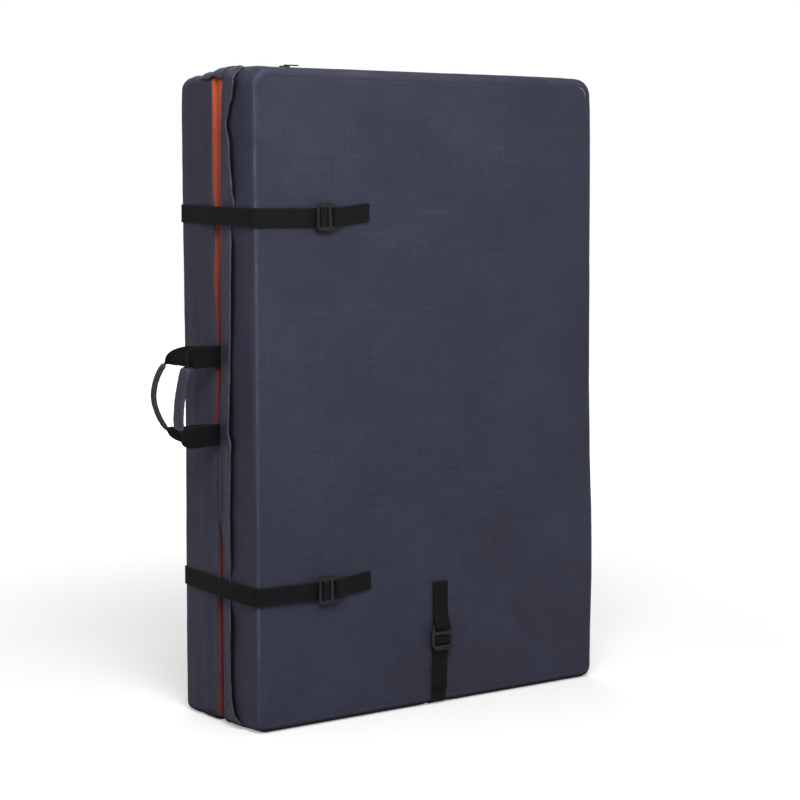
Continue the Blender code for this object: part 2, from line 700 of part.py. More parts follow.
def flap_grid():
    """Middle points of the side flap: out of the mouth, round it, then over the band."""
    radius = MOUTH_RADIUS + GAP + FABRIC / 2
    centre = FOLD_GAP / 2 + MOUTH_RADIUS
    base = -BASE_HALF_WIDTH
    grid = []
    for z, free in flap_rows():
        free = min(free, z / FRONT_CORNER_RADIUS)
        row = []
        for a in reversed(arc(3)):
            row.append((base + MOUTH_RADIUS - radius * math.cos(a), centre - radius * math.sin(a)))
        reach = flap_reach(z)
        for k in range(1, FLAP_STEPS + 1):
            part = k / FLAP_STEPS
            depth = centre + part * (reach - MOUTH_RADIUS)
            inward = corner_inset(z, front.corner_at(depth)) - corner_inset(z, MOUTH_CORNER_RADIUS)
            out = SIDE_BULGE * min(1, 2 * part) + FLAP_LIFT * part * part * free
            row.append((base - GAP - FABRIC / 2 - out + max(inward, 0), depth))
        grid.append([Vector((x, FOLD_Y - d, z)) for x, d in row])
    return grid


sheet("flap_side", flap_grid(), FABRIC, SLATE, front_half)


def top_flap_grid():
    """Middle points of the top flap: sewn on the front half, over the fold and down at the open end."""
    over = PAD_HEIGHT + GAP + FABRIC / 2
    low = BACK_TOP + GAP + FABRIC
    depths = [-TOP_FLAP_FRONT, -FOLD_GAP, 0, FOLD_GAP, TOP_FLAP_BACK / 2, TOP_FLAP_BACK]
    heights = [over, over, over, over - BACK_DROP / 4, low + BACK_DROP / 4, low]
    grid = []
    span = PAD_WIDTH - 2 * TOP_FLAP_END
    for k in range(TOP_FLAP_STEPS + 1):
        x = PAD_WIDTH / 2 - TOP_FLAP_END - span * k / TOP_FLAP_STEPS
        grid.append([Vector((x, FOLD_Y + d, z)) for d, z in zip(depths, heights)])
    edge = OPEN_X - TOP_FLAP_OUT
    start = OPEN_X + TOP_FLAP_END
    for a in (arc(3)[1], arc(3)[2], arc(3)[3]):
        x = start + (edge - start) * math.sin(a)
        drop = TOP_FLAP_DROOP * (1 - math.cos(a))
        inward = TOP_FLAP_FRONT * (1 - math.cos(a)) * (1 - FOLD_GAP / TOP_FLAP_FRONT)
        spots = [depths[0] + inward, *depths[1:]]
        grid.append([Vector((x, FOLD_Y + d, z - drop)) for d, z in zip(spots, heights)])
    return grid


sheet("flap_top", top_flap_grid(), FABRIC, SLATE, front_half)


def handle_path():
    """Middle line of a handle as (out, up, twist): two flat arms, two bends and a bowed grip."""
    half = HANDLE_SPREAD / 2
    grip = half - HANDLE_BEND
    arm = HANDLE_SHOULDER - HANDLE_BEND
    line = [(0, half, 0), (HANDLE_HEM_LENGTH, half, 0)] + [(arm * s, half, 0) for s in HANDLE_ARM_SHARES]
    for k in range(1, HANDLE_STEPS + 1):
        a = math.pi / 2 * k / HANDLE_STEPS
        twist = HANDLE_TWIST_SHARE * k / HANDLE_STEPS
        line.append((arm + HANDLE_BEND * math.sin(a), half - HANDLE_BEND * (1 - math.cos(a)), twist))
    bow = HANDLE_REACH - HANDLE_SHOULDER
    line += [(HANDLE_SHOULDER + bow * (1 - s * s), grip * s, 1) for s in HANDLE_GRIP_SHARES if s > 0]
    middle = [(HANDLE_REACH, 0, 1)]
    return line + middle + [(r, -z, t) for r, z, t in reversed(line)]


def handle(word, lean_share, carrier, sign, grip_width, sleeve_name, sleeve_finish):
    """One carry handle turning about its seam, and the sewn-in ends that it hangs from."""
    lean = math.pi / 2 * lean_share
    out = Vector((-math.cos(lean), math.sin(lean), 0))
    flat = Vector((math.sin(lean), math.cos(lean), 0))
    root = Vector((-BASE_HALF_WIDTH, FOLD_Y + sign * HANDLE_OFF, HANDLE_Z))
    for place, end in ((HANDLE_SPREAD / 2, "top"), (-HANDLE_SPREAD / 2, "low")):
        seam = [root + Z * place + X * u for u in (HANDLE_HEM_GAP, HANDLE_ROOT)]
        webbing("handle_%s_seam_%s" % (word, end), seam, Z, HANDLE_WEB_WIDTH, BLACK_WEB, carrier)
    body = Body("handle_" + word, root, Z, carrier)
    path = handle_path()
    points = [root + out * r + Z * z for r, z, _ in path]
    across, lifts = [], []
    for i, (_, _, turn) in enumerate(path):
        along = (points[min(i + 1, len(points) - 1)] - points[max(i - 1, 0)]).normalized()
        angle = math.pi / 2 * math.sin(math.pi / 2 * turn) ** 2
        across.append(along.cross(flat) * math.cos(angle) + flat * math.sin(angle))
        lifts.append(along.cross(flat))
    widths = [HANDLE_WEB_WIDTH + (grip_width - HANDLE_WEB_WIDTH) * t for _, _, t in path]
    thicks = [WEB + (HANDLE_GRIP - WEB) * t for _, _, t in path]
    thicks[0] = thicks[-1] = HANDLE_HEM
    rings = band_rings(points, across, widths, thicks)
    loft("handle_%s_web" % word, rings, BLACK_WEB, body, smooth=False)
    outer, inner = [], []
    longest = max(HANDLE_GRIP_SHARES[1:]) * (HANDLE_SPREAD / 2 - HANDLE_BEND)
    for i, (_, z, _) in enumerate(path):
        if abs(z) > longest + GAP:
            continue
        for made, wall in ((outer, GAP + SLEEVE_WALL), (inner, GAP)):
            wide, deep = grip_width / 2 + wall, HANDLE_GRIP / 2 + wall
            cut = SLEEVE_WALL if wall > GAP else GAP / 2
            section = ((-wide, cut - deep), (cut - wide, -deep), (wide - cut, -deep), (wide, cut - deep),
                       (wide, deep - cut), (wide - cut, deep), (cut - wide, deep), (-wide, deep - cut))
            made.append([points[i] + flat * a + lifts[i] * b for a, b in section])
    loft(sleeve_name, outer + list(reversed(inner)), sleeve_finish, body, closed=True)


handle("back", BACK_HANDLE_LEAN_SHARE, back_half, 1, HANDLE_GRIP_WIDTH, "handle_back_grip", GREY_WEB)
handle("front", FRONT_HANDLE_LEAN_SHARE, front_half, -1, FRONT_GRIP_WIDTH, "handle_front_sleeve", SLATE)


def hinge_grid():
    """The fabric hinge over the fold on the closed side."""
    grid = []
    depths = (-HINGE_STRIP_HALF, -BAND_START, -FOLD_GAP / 2, 0, FOLD_GAP / 2, BAND_START, HINGE_STRIP_HALF)
    for k in range(HINGE_ROWS + 1):
        z = HINGE_END + (BACK_TOP - 2 * HINGE_END) * k / HINGE_ROWS
        row = []
        for depth in depths:
            out = GAP + HINGE_STRIP / 2 + band_swell(abs(depth))
            row.append(Vector((BASE_HALF_WIDTH + out, FOLD_Y + depth, z)))
        grid.append(row)
    return grid


sheet("hinge_strip", hinge_grid(), HINGE_STRIP, SLATE, back_half)


def zip_set(word, half, body, depth):
    """Tape with its coil, slider and pull on the top band of one half."""
    y = FOLD_Y + depth
    z = half.top + GAP
    wide, coil = ZIP_TAPE_WIDTH / 2, ZIP_COIL_WIDTH / 2
    high = ZIP_TAPE + ZIP_COIL
    section = ((-wide, 0), (wide, 0), (wide, ZIP_TAPE), (coil, ZIP_TAPE), (coil / 2, high), (-coil / 2, high),
               (-coil, ZIP_TAPE), (-wide, ZIP_TAPE))
    ends = [[Vector((s * ZIP_LENGTH / 2, y + a, z + b)) for a, b in section] for s in (-1, 1)]
    loft("zip_tape_" + word, ends, BLACK_WEB, body, smooth=False)
    start = -ZIP_LENGTH / 2 + SLIDER_LENGTH
    slide = Body("zip_slider_" + word, (start, y, z), X, body)
    outer = SLIDER_WIDTH / 2
    foot = z + ZIP_TAPE + GAP
    roof = z + high + GAP
    inner = coil + GAP
    arch = ((-outer, foot), (-inner, foot), (-inner, roof), (inner, roof), (inner, foot), (outer, foot),
            (outer, roof), (outer - SLIDER_WALL, roof + SLIDER_WALL), (SLIDER_WALL - outer, roof + SLIDER_WALL),
            (-outer, roof))
    rings = [[Vector((start + s * SLIDER_LENGTH / 2, y + a, b)) for a, b in arch] for s in (-1, 1)]
    loft("zip_slider_" + word, rings, ZIP_METAL, slide, smooth=False)
    low = roof + SLIDER_WALL + GAP
    pull = []
    for share, wide_share in PULL_SHARES:
        x = start + PULL_LENGTH * share
        width = PULL_NECK + (PULL_WIDTH - PULL_NECK) * wide_share
        pull.append([Vector((x, y + a * width / 2, low + b * PULL)) for a, b in ((-1, 0), (1, 0), (1, 1), (-1, 1))])
    loft("zip_pull_" + word, pull, ZIP_METAL, slide, smooth=False)


zip_set("back", back, back_half, ZIP_BACK_DEPTH)
zip_set("front", front, front_half, -ZIP_FRONT_DEPTH)

# The harness lies on the back face. Its plane is the highest part of the crown
BACK_PLANE = FOLD_Y + face_depth(BASE_HALF_WIDTH)


def yoke():
    rings = []
    for x in (-YOKE_HALF_WIDTH, YOKE_HALF_WIDTH):
        y = BACK_PLANE + GAP
        rings.append([Vector((x, y, YOKE_BOTTOM)), Vector((x, y + YOKE, YOKE_BOTTOM)),
                      Vector((x, y + YOKE, YOKE_TOP)), Vector((x, y, YOKE_TOP))])
    loft("yoke_patch", rings, BLACK_WEB, back_half, smooth=False)


yoke()


def shoulder(word, sign):
    """A padded shoulder strap with its tab and ladder lock, and the lower web that threads it."""
    top = Vector((sign * PAD_TOP_X, BACK_PLANE, YOKE_BOTTOM - GAP))
    end = Vector((sign * PAD_END_X, BACK_PLANE, PAD_END_Z))
    anchor = Vector((sign * LOWER_ANCHOR_X, BACK_PLANE, LOWER_ANCHOR_Z))
    aim = (end - anchor).normalized()
    body = Body("shoulder_" + word, top + Y * (GAP + SHOULDER_THIN), X, back_half)

    def middle(s):
        return top.lerp(end, s) + X * (sign * PAD_BOW * math.sin(math.pi * s) * (1 - s / 2))

    rings = []
    for k in range(SHOULDER_STEPS + 1):
        s = k / SHOULDER_STEPS
        heading = (middle(max(k - 1, 0) / SHOULDER_STEPS) - middle(min(k + 1, SHOULDER_STEPS) / SHOULDER_STEPS))
        heading = Z if k == 0 else aim if k == SHOULDER_STEPS else heading.normalized()
        side = Y.cross(heading).normalized()
        first, last = SHOULDER_EASE_SHARES
        ease = math.sin(math.pi / 2 * min(1, s / first, (1 - s) / last))
        thick = SHOULDER_THIN + (SHOULDER_THICKNESS - SHOULDER_THIN) * ease
        wide = WEB_WIDTH / 2 + (SHOULDER_HALF_WIDTH - WEB_WIDTH / 2) * ease
        rings.append([middle(s) + side * (wide * a) + Y * (GAP + thick * b) for a, b in SHOULDER_SECTION_SHARES])
    loft("shoulder_pad_" + word, rings, SLATE, body)
    lay = Lay(end - aim * (SHOULDER_TAB + END_AXIS + GAP), aim, Y.cross(aim).normalized(), Y)
    tab = [lay.at(u, 0, w) for u, w in tab_line(SHOULDER_TAB)]
    webbing("shoulder_tab_" + word, tab, lay.across, WEB_WIDTH, BLACK_WEB, body)
    lock = Body("adjuster_" + word, lay.at(END_AXIS, 0, PLATE_MIDDLE), lay.across, body)
    ladder_lock("adjuster_" + word, lay, lock)
    start = (anchor - lay.origin).dot(lay.along)
    points = [lay.at(u, 0, w) for u, w in [(start, STRAP_W)] + thread([-LOWER_TAIL])]
    webbing("lower_web_" + word, points, lay.across, WEB_WIDTH, BLACK_WEB, back_half)


shoulder("left", -1)
shoulder("right", 1)


def join(obj, tool, operation):
    tool.hide_render = True
    tool.display_type = "WIRE"
    made = obj.modifiers.new(operation.lower(), "BOOLEAN")
    made.operation = operation
    made.solver = "EXACT"
    made.object = tool


def block(name, lay, spans, body):
    """A plain box in a local frame, from (low, high) along u, v and w."""
    (u0, u1), (v0, v1), (w0, w1) = spans
    rings = [[lay.at(u, v0, w0), lay.at(u, v1, w0), lay.at(u, v1, w1), lay.at(u, v0, w1)] for u in (u0, u1)]
    return loft(name, rings, BLACK_PLASTIC, body, smooth=False)


def moulded(lay, stations):
    """Chamfered cross sections from (u, half width, low, high, chamfer)."""
    rings = []
    for u, v, low, high, c in stations:
        section = ((-v, low + c), (c - v, low), (v - c, low), (v, low + c),
                   (v, high - c), (v - c, high), (c - v, high), (-v, high - c))
        rings.append([lay.at(u, a, w) for a, w in section])
    return rings


def belt_plug():
    """The plug: a ladder-lock base with a guide and two springy prongs."""
    lay = Lay((PLUG_LENGTH, BACK_PLANE, BELT_Z), -X, Z, Y)
    body = Body("belt_plug", lay.at(PLUG_LENGTH, 0, PLATE_MIDDLE), X, back_half)
    grown = BELT_WIDTH / 2 + SLOT_MARGIN + PLUG_RAIL
    stations = []
    for share, wide in BUCKLE_OUTLINE_SHARES:
        u = share * PLUG_LENGTH
        lift = LIP_RISE * max(0, 1 - u / LIP_BAR) ** 2
        v = grown * (wide if share < PLUG_SQUARE_SHARE else 1)
        stations.append((u, v, PLATE_BOTTOM + lift, PLATE_TOP + lift, BUCKLE_CHAMFER))
    obj = loft("belt_plug", moulded(lay, stations), BLACK_PLASTIC, body, False)
    half = BELT_WIDTH / 2 + SLOT_MARGIN
    for start, end in ((LIP_SLOT_START, GRIP_START), (GRIP_END, REST_START)):
        slot_cut(obj, lay, body, start, end, half)
    inner = SOCKET_ROOM / 2 - PRONG_CLEARANCE
    low, high = PLATE_BOTTOM + GAP, PLATE_TOP - GAP
    spans = ((-inner, PRONG_WIDTH - inner), (-GUIDE_WIDTH / 2, GUIDE_WIDTH / 2), (inner - PRONG_WIDTH, inner))
    for v0, v1 in spans:
        reach = (PLUG_LENGTH - OVERRUN, PLUG_LENGTH + PRONG_LENGTH)
        join(obj, block("prong", lay, (reach, (v0, v1), (low, high)), body), "UNION")
    start = (PLUG_LENGTH - BELT_END, STRAP_W)
    return lay, start


def web_on_back(name, lay, line, width, body):
    """A web along X on the back face. The stretch under it follows the faceted crown to the far end."""
    far = line[0][0]
    knots = []
    for inset in reversed(FACE_INSETS):
        x = BASE_HALF_WIDTH - inset
        u = (lay.origin.x - x) if lay.origin.x > 0 and far < 0 else (x + lay.origin.x)
        knots.append((u, face_depth(inset) - face_depth(BASE_HALF_WIDTH)))
    low = face_depth(BASE_HALF_WIDTH - BELT_END) - face_depth(BASE_HALF_WIDTH)
    between = [(u, STRAP_W + d) for u, d in knots if min(far, line[1][0]) < u < max(far, line[1][0])]
    between.sort(key=lambda spot: abs(spot[0] - far))
    whole = [(far, STRAP_W + low)] + between + line[1:]
    points = [lay.at(u, 0, w) for u, w in whole]
    return webbing(name, points, lay.across, width, BLACK_WEB, body)


def belt_socket():
    """The socket: a hollow housing, open at its mouth and its two release windows, with a bar for its web."""
    lay = Lay((-GAP, BACK_PLANE, BELT_Z), -X, Z, Y)
    low, high = PLATE_MIDDLE - SOCKET_HEIGHT / 2, PLATE_MIDDLE + SOCKET_HEIGHT / 2
    house = SOCKET_LENGTH - SOCKET_BAR_END
    waist = SOCKET_ROOM / 2 + SOCKET_WALL
    wide = waist + SOCKET_FLARE
    stations = [(0, wide, low, high, SOCKET_CHAMFER), (SOCKET_WALL, wide, low, high, SOCKET_CHAMFER)]
    stations += [(house * s, waist, low, high, SOCKET_CHAMFER) for s in SOCKET_WAIST_SHARES]
    stations += [(house, wide, low, high, SOCKET_CHAMFER)]
    stations += [(house + SOCKET_WALL, wide, PLATE_BOTTOM, PLATE_TOP, BUCKLE_CHAMFER)]
    stations += [(SOCKET_LENGTH, wide, PLATE_BOTTOM, PLATE_TOP, BUCKLE_CHAMFER)]
    obj = loft("belt_socket", moulded(lay, stations), BLACK_PLASTIC, back_half, False)
    room = SOCKET_ROOM / 2
    deep = (-OVERRUN, PRONG_LENGTH + PRONG_CLEARANCE)
    tall = (PLATE_BOTTOM - PRONG_CLEARANCE, PLATE_TOP + PRONG_CLEARANCE)
    join(obj, block("socket_room", lay, (deep, (-room, room), tall), back_half), "DIFFERENCE")
    sides = (-wide - OVERRUN, wide + OVERRUN)
    window = tuple(house * s for s in SOCKET_WINDOW_SHARES)
    join(obj, block("windows", lay, (window, sides, (PLATE_BOTTOM, PLATE_TOP)), back_half), "DIFFERENCE")
    half = BELT_WIDTH / 2 + SLOT_MARGIN
    bar = SOCKET_LENGTH - END_BAR
    slot_cut(obj, lay, back_half, bar - SOCKET_SLOT, bar, half)
    return lay


plug_lay, plug_start = belt_plug()
web_on_back("belt_web_right", plug_lay, [plug_start] + thread([-BELT_TAIL]), BELT_WIDTH, back_half)
socket_lay = belt_socket()
socket_axis = SOCKET_LENGTH - END_BAR / 2
reach = BELT_END - GAP - socket_axis
socket_line = tab_line(reach, socket_axis, BELT_FOLD)
web_on_back("belt_web_left", socket_lay, socket_line, BELT_WIDTH, back_half)


def settle():
    """Moves the whole part so that the bottom centre of its box is at the origin."""
    bpy.context.view_layer.update()
    graph = bpy.context.evaluated_depsgraph_get()
    corners = []
    for obj in bpy.data.objects:
        if obj.type == "MESH" and not obj.hide_render:
            shape = obj.evaluated_get(graph)
            corners += [shape.matrix_world @ v.co for v in shape.data.vertices]
    low = [min(c[k] for c in corners) for k in range(3)]
    high = [max(c[k] for c in corners) for k in range(3)]
    for body in (back_half, front_half):
        body.empty.location -= Vector(((low[0] + high[0]) / 2, (low[1] + high[1]) / 2, low[2]))


settle()
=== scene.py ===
import math

import bpy
from mathutils import Matrix, Vector, bvhtree, noise

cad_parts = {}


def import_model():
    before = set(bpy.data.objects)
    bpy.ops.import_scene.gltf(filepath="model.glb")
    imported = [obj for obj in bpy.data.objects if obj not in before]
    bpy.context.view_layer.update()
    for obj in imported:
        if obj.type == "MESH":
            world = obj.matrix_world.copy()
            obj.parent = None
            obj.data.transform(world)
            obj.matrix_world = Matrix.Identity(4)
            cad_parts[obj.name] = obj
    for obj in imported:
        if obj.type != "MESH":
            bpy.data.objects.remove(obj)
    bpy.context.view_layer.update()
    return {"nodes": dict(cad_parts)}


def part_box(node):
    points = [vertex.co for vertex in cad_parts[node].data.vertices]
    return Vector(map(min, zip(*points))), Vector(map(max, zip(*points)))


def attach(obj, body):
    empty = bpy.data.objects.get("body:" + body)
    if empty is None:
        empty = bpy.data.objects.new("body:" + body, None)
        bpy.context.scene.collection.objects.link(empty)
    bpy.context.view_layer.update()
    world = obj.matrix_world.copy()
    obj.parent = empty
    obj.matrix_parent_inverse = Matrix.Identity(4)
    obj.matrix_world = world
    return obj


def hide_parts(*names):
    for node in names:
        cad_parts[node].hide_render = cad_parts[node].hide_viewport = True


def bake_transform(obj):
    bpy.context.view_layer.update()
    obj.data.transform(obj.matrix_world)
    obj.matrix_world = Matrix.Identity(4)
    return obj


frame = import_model()

# Sizes of the pad, in metres
PAD_WIDTH, PAD_HEIGHT, BACK_TOP = 0.593, 0.8945, 0.889
HALF_THICKNESS, FOLD_GAP, GAP = 0.097, 0.007, 0.0003
FABRIC, SIDE_BULGE = 0.0012, 0.0015
FACE_CROWN, CROWN_REACH, FACE_BORDER = 0.004, 0.16, 0.042
EDGE_DRAW, EDGE_RADIUS = 0.0015, 0.009
MOUTH_RADIUS, MOUTH_RIM = 0.006, 0.001
FRONT_CORNER_RADIUS, BACK_CORNER_RADIUS, MOUTH_CORNER_RADIUS = 0.026, 0.020, 0.012
WEB_WIDTH, WEB, STRAP_GAP, LAYER_GAP = 0.025, 0.0016, 0.0005, 0.0004
BOTTOM_STRAP_X, GROOVE_DEPTH = 0.0066, 0.0026
EDGE_DEPTH = FOLD_GAP / 2 + HALF_THICKNESS - FACE_CROWN
BAND_START = FOLD_GAP / 2 + MOUTH_RADIUS + MOUTH_RIM + GAP
BAND_END = EDGE_DEPTH - EDGE_RADIUS
SEAM_FLAT, SEAM_BAND = MOUTH_RIM + GAP, 0.0042
SEAM_END = SEAM_FLAT + MOUTH_RADIUS * math.pi / 2
BASE_HALF_WIDTH = PAD_WIDTH / 2 - SIDE_BULGE
OPEN_X = -PAD_WIDTH / 2
HANDLE_Z, HANDLE_TOP, HANDLE_LOW = 0.4475, 0.057, -0.0505
X, Y, Z = Vector((1, 0, 0)), Vector((0, 1, 0)), Vector((0, 0, 1))

# The pad's own frame: its middle across, and the plane between the two halves
front_low, front_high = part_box("cover_front")
PAD_X = (front_low.x + front_high.x) / 2
FOLD = (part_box("landing_back")[0].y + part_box("landing_front")[1].y) / 2


def place(x, depth, z):
    """A point from its place across the pad, its signed depth from the fold plane and its height."""
    return Vector((PAD_X + x, FOLD + depth, z))


def clamp(value, low=0.0, high=1.0):
    return min(max(value, low), high)


def smooth(share):
    share = clamp(share)
    return share * share * (3 - 2 * share)


def curve(table, at):
    """A smooth value from a table of (place, value)."""
    if at <= table[0][0]:
        return table[0][1]
    for (a, low), (b, high) in zip(table, table[1:]):
        if at <= b:
            return low + (high - low) * smooth((at - a) / (b - a))
    return table[-1][1]


def ripple(x, y, z, seed=0.0):
    """Smooth noise from -1 to 1."""
    return noise.noise(Vector((x + seed, y - seed * 0.7, z + seed * 1.3)))


def bell(distance, width):
    return math.exp(-((distance / width) ** 2))


def near_handles(z, width):
    """1 at the height of either end of the handles, fading within the width."""
    return max(bell(z - HANDLE_Z - end, width) for end in (HANDLE_TOP, HANDLE_LOW))


# Materials

UV, OBJECT, FACTOR = 2, 3, 2


def linear(*levels):
    """A colour from its 0 to 255 display levels."""
    shares = [level / 255 for level in levels]
    return (*(c / 12.92 if c <= 0.04045 else ((c + 0.055) / 1.055) ** 2.4 for c in shares), 1.0)


def grey(level):
    return (level, level, level, 1)


class Nodes:
    """Short names for the nodes of a tree."""

    def __init__(self, tree):
        self.tree = tree

    def node(self, kind, inputs=None, out=0, **settings):
        made = self.tree.nodes.new("ShaderNode" + kind)
        for key, value in settings.items():
            setattr(made, key, value)
        for key, value in (inputs or {}).items():
            self.put(made.inputs[key], value)
        return made.outputs[out]

    def put(self, socket, value):
        if isinstance(value, bpy.types.NodeSocket):
            self.tree.links.new(value, socket)
        else:
            socket.default_value = value


class Finish(Nodes):
    """A procedural material."""

    def __init__(self, name, roughness, metallic=0.0, specular=0.5, **sockets):
        self.material = bpy.data.materials.new(name)
        self.material.use_nodes = True
        super().__init__(self.material.node_tree)
        self.shader = self.tree.nodes["Principled BSDF"]
        self.dress(Roughness=roughness, Metallic=metallic, Specular_IOR_Level=specular, **sockets)

    def dress(self, **sockets):
        """Sets or links the shader's sockets, and gives the material."""
        for key, value in sockets.items():
            self.put(self.shader.inputs[key.replace("_", " ")], value)
        return self.material

    def math(self, operation, a, b=0.0, clamp=False):
        return self.node("Math", {0: a, 1: b}, operation=operation, use_clamp=clamp)

    def times(self, first, *factors, clamp=False):
        for factor in factors:
            first = self.math("MULTIPLY", first, factor, clamp)
        return first

    def scaled(self, source, x, y, z=1.0):
        return self.node("Mapping", {"Vector": source, "Scale": (x, y, z)})

    def noise(self, source, scale, detail=2.0, roughness=0.5):
        return self.node("TexNoise", {"Vector": source, "Scale": scale, "Detail": detail, "Roughness": roughness})

    def ramp(self, source, low, high, start=0.0, end=1.0):
        """From low to high as the source goes from start to end, and even beyond."""
        limits = {"From Min": start, "From Max": end, "To Min": low, "To Max": high}
        return self.node("MapRange", {"Value": source, **limits})

    def spread(self, source, low, high):
        """As ramp, over the range that a noise has."""
        return self.ramp(source, low, high, 0.3, 0.7)

    def mix(self, factor, a, b):
        made = self.tree.nodes.new("ShaderNodeMix")
        made.data_type = "RGBA"
        for socket, value in ((0, factor), (6, a), (7, b)):
            self.put(made.inputs[socket], value)
        return made.outputs[2]

    def tint(self, colour, factor):
        """A colour made lighter or darker by a factor."""
        return self.node("VectorMath", {0: colour, "Scale": factor}, operation="SCALE")

    def bump(self, height, distance, strength, under=None):
        inputs = {"Height": height, "Distance": distance, "Strength": strength}
        if under:
            inputs["Normal"] = under
        return self.node("Bump", inputs)

    def painted(self, name):
        return self.node("Attribute", attribute_name=name, out=FACTOR)

    def weave(self, source, across, along):
        """Height of a plain weave: warp over weft in one square of the check, weft over warp in the next."""
        u, v = (self.node("SeparateXYZ", {0: source}, out=k) for k in (0, 1))
        u, v = self.times(u, 1 / across), self.times(v, 1 / along)
        warp, weft = (self.math("ABSOLUTE", self.math("SINE", self.times(line, math.pi))) for line in (u, v))
        cells = self.math("ADD", self.math("FLOOR", u), self.math("FLOOR", v))
        check = self.math("ABSOLUTE", self.math("MODULO", cells, 2.0))
        rest = self.math("SUBTRACT", 1.0, check)
        return self.math("ADD", self.times(warp, check), self.times(weft, rest))


def fabric(name, colour, light, dark, thread=0.0011, roughness=0.64, streak=0.36, painted_shade=None):
    """Coated woven cloth: painted shade in the weave's gaps, streaky thread, mottling, worn edges with painted
    highlight.
    """
    made = Finish(name, roughness, specular=0.26, Sheen_Weight=0.04, Sheen_Roughness=0.45)
    uv = made.node("TexCoord", out=UV)
    cloud = made.noise(uv, 7.0, 4.0, 0.55)
    rows = made.noise(made.scaled(uv, 9.0, 620.0), 1.0, 3.0, 0.6)
    columns = made.noise(made.scaled(uv, 560.0, 7.0), 1.0, 2.0, 0.5)
    threads = made.weave(uv, thread, thread)
    # the weave's gaps are darkened: painted shade between the threads
    tone = made.times(
        made.spread(cloud, 0.90, 1.10),
        made.spread(rows, 1 - streak / 2, 1 + streak / 2),
        made.spread(made.noise(uv, 34.0, 3.0, 0.6), 0.94, 1.06),
        made.spread(columns, 1 - streak / 4, 1 + streak / 4),
        made.spread(made.noise(uv, 900.0, 2.0, 0.6), 0.95, 1.05),
        made.ramp(threads, 0.84, 1.06),
    )
    wear_and_highlight = made.times(made.painted("wear_and_highlight"), made.spread(made.noise(uv, 60.0, 4.0, 0.65), 0.25, 1.0), clamp=True)
    base = made.mix(wear_and_highlight, colour, light)
    base = made.mix(made.times(made.spread(cloud, 1.0, 0.0), 0.25), base, dark)
    rough = made.times(made.spread(rows, 0.95, 1.07), roughness)
    # painted shade: a dark colour mixed in where the mesh marks it, with rougher cloth there
    if painted_shade:
        shade_mask = made.painted("painted_shade")
        base = made.mix(made.times(shade_mask, made.spread(cloud, 0.85, 1.1), clamp=True), base, painted_shade)
        rough = made.math("ADD", rough, made.times(shade_mask, 0.3), clamp=True)
    soft = made.bump(made.noise(uv, 38.0, 3.0, 0.5), 0.0012, 0.32)
    slubs = made.bump(made.math("ADD", rows, made.times(columns, 0.5)), 0.00034, 0.5, soft)
    return made.dress(Base_Color=made.tint(base, tone), Roughness=rough, Normal=made.bump(threads, 0.00016, 0.6, slubs))


def web_finish(name, colour, light, cross=0.0021, along=0.0016):
    """Woven webbing: ribs across the band with painted shade between them, a slanting finer thread, and dust where it
    is worn.
    """
    roughness = 0.78
    made = Finish(name, roughness, specular=0.12, Sheen_Weight=0.02, Sheen_Roughness=0.4)
    uv = made.node("TexCoord", out=UV)
    threads = made.weave(uv, cross, along)
    u, v = (made.node("SeparateXYZ", {0: uv}, out=k) for k in (0, 1))
    twill = made.math("SINE", made.math("ADD", made.times(v, 520.0), made.times(u, 900.0)))
    fuzz = made.noise(made.scaled(uv, 1500.0, 420.0), 1.0, 3.0, 0.6)
    cloud = made.noise(uv, 45.0, 3.0, 0.5)
    # the gaps between the ribs are darkened: painted shade
    tone = made.times(made.spread(fuzz, 0.8, 1.2), made.spread(cloud, 0.88, 1.12), made.ramp(threads, 0.62, 1.15))
    wear_and_highlight = made.times(made.painted("wear_and_highlight"), made.spread(fuzz, 0.2, 1.0), clamp=True)
    return made.dress(
        Base_Color=made.tint(made.mix(wear_and_highlight, colour, light), tone),
        Roughness=made.times(made.spread(fuzz, 0.92, 1.1), roughness),
        Normal=made.bump(threads, 0.0003, 0.8, made.bump(twill, 0.00012, 0.5)),
    )


def plastic(name, colour, light):
    """Moulded acetal: fine spark texture, a soft gloss and rubbed edges."""
    made = Finish(name, 0.42, specular=0.36)
    where = made.node("TexCoord", out=OBJECT)
    grain = made.noise(where, 1400.0, 3.0, 0.6)
    rubbed = made.noise(where, 220.0, 5.0, 0.7)
    mottle = made.noise(where, 60.0, 3.0, 0.5)
    base = made.mix(made.ramp(rubbed, 0.0, 0.6, 0.52, 0.72), colour, light)
    return made.dress(
        Base_Color=made.tint(base, made.spread(mottle, 0.88, 1.12)),
        Roughness=made.spread(rubbed, 0.34, 0.52),
        Normal=made.bump(grain, 0.00005, 0.5, made.bump(rubbed, 0.00012, 0.25)),
    )


def metal(name, colour, dark):
    """Plated zip metal, a little tarnished."""
    made = Finish(name, 0.34, metallic=1.0)
    where = made.node("TexCoord", out=OBJECT)
    tarnish = made.noise(where, 300.0, 4.0, 0.6)
    brushed = made.noise(made.scaled(where, 300.0, 4000.0, 4000.0), 1.0, 2.0, 0.5)
    return made.dress(
        Base_Color=made.mix(made.spread(tarnish, 0.0, 0.55), colour, dark),
        Roughness=made.spread(tarnish, 0.27, 0.46),
        Normal=made.bump(brushed, 0.00004, 0.4),
    )


def foam(name, colour, dark, scale):
    """Open-cell foam: cells as small pits, each darkened towards its bottom as painted shade."""
    made = Finish(name, 0.95, specular=0.15)
    where = made.node("TexCoord", out=OBJECT)
    cells = made.node("TexVoronoi", {"Vector": where, "Scale": scale})
    base = made.mix(made.spread(made.noise(where, 12.0, 3.0, 0.5), 0.0, 0.5), colour, dark)
    return made.dress(
        Base_Color=made.tint(base, made.ramp(cells, 0.7, 1.05, 0.0, 0.6)),
        Normal=made.bump(cells, 0.0005, 0.6),
    )
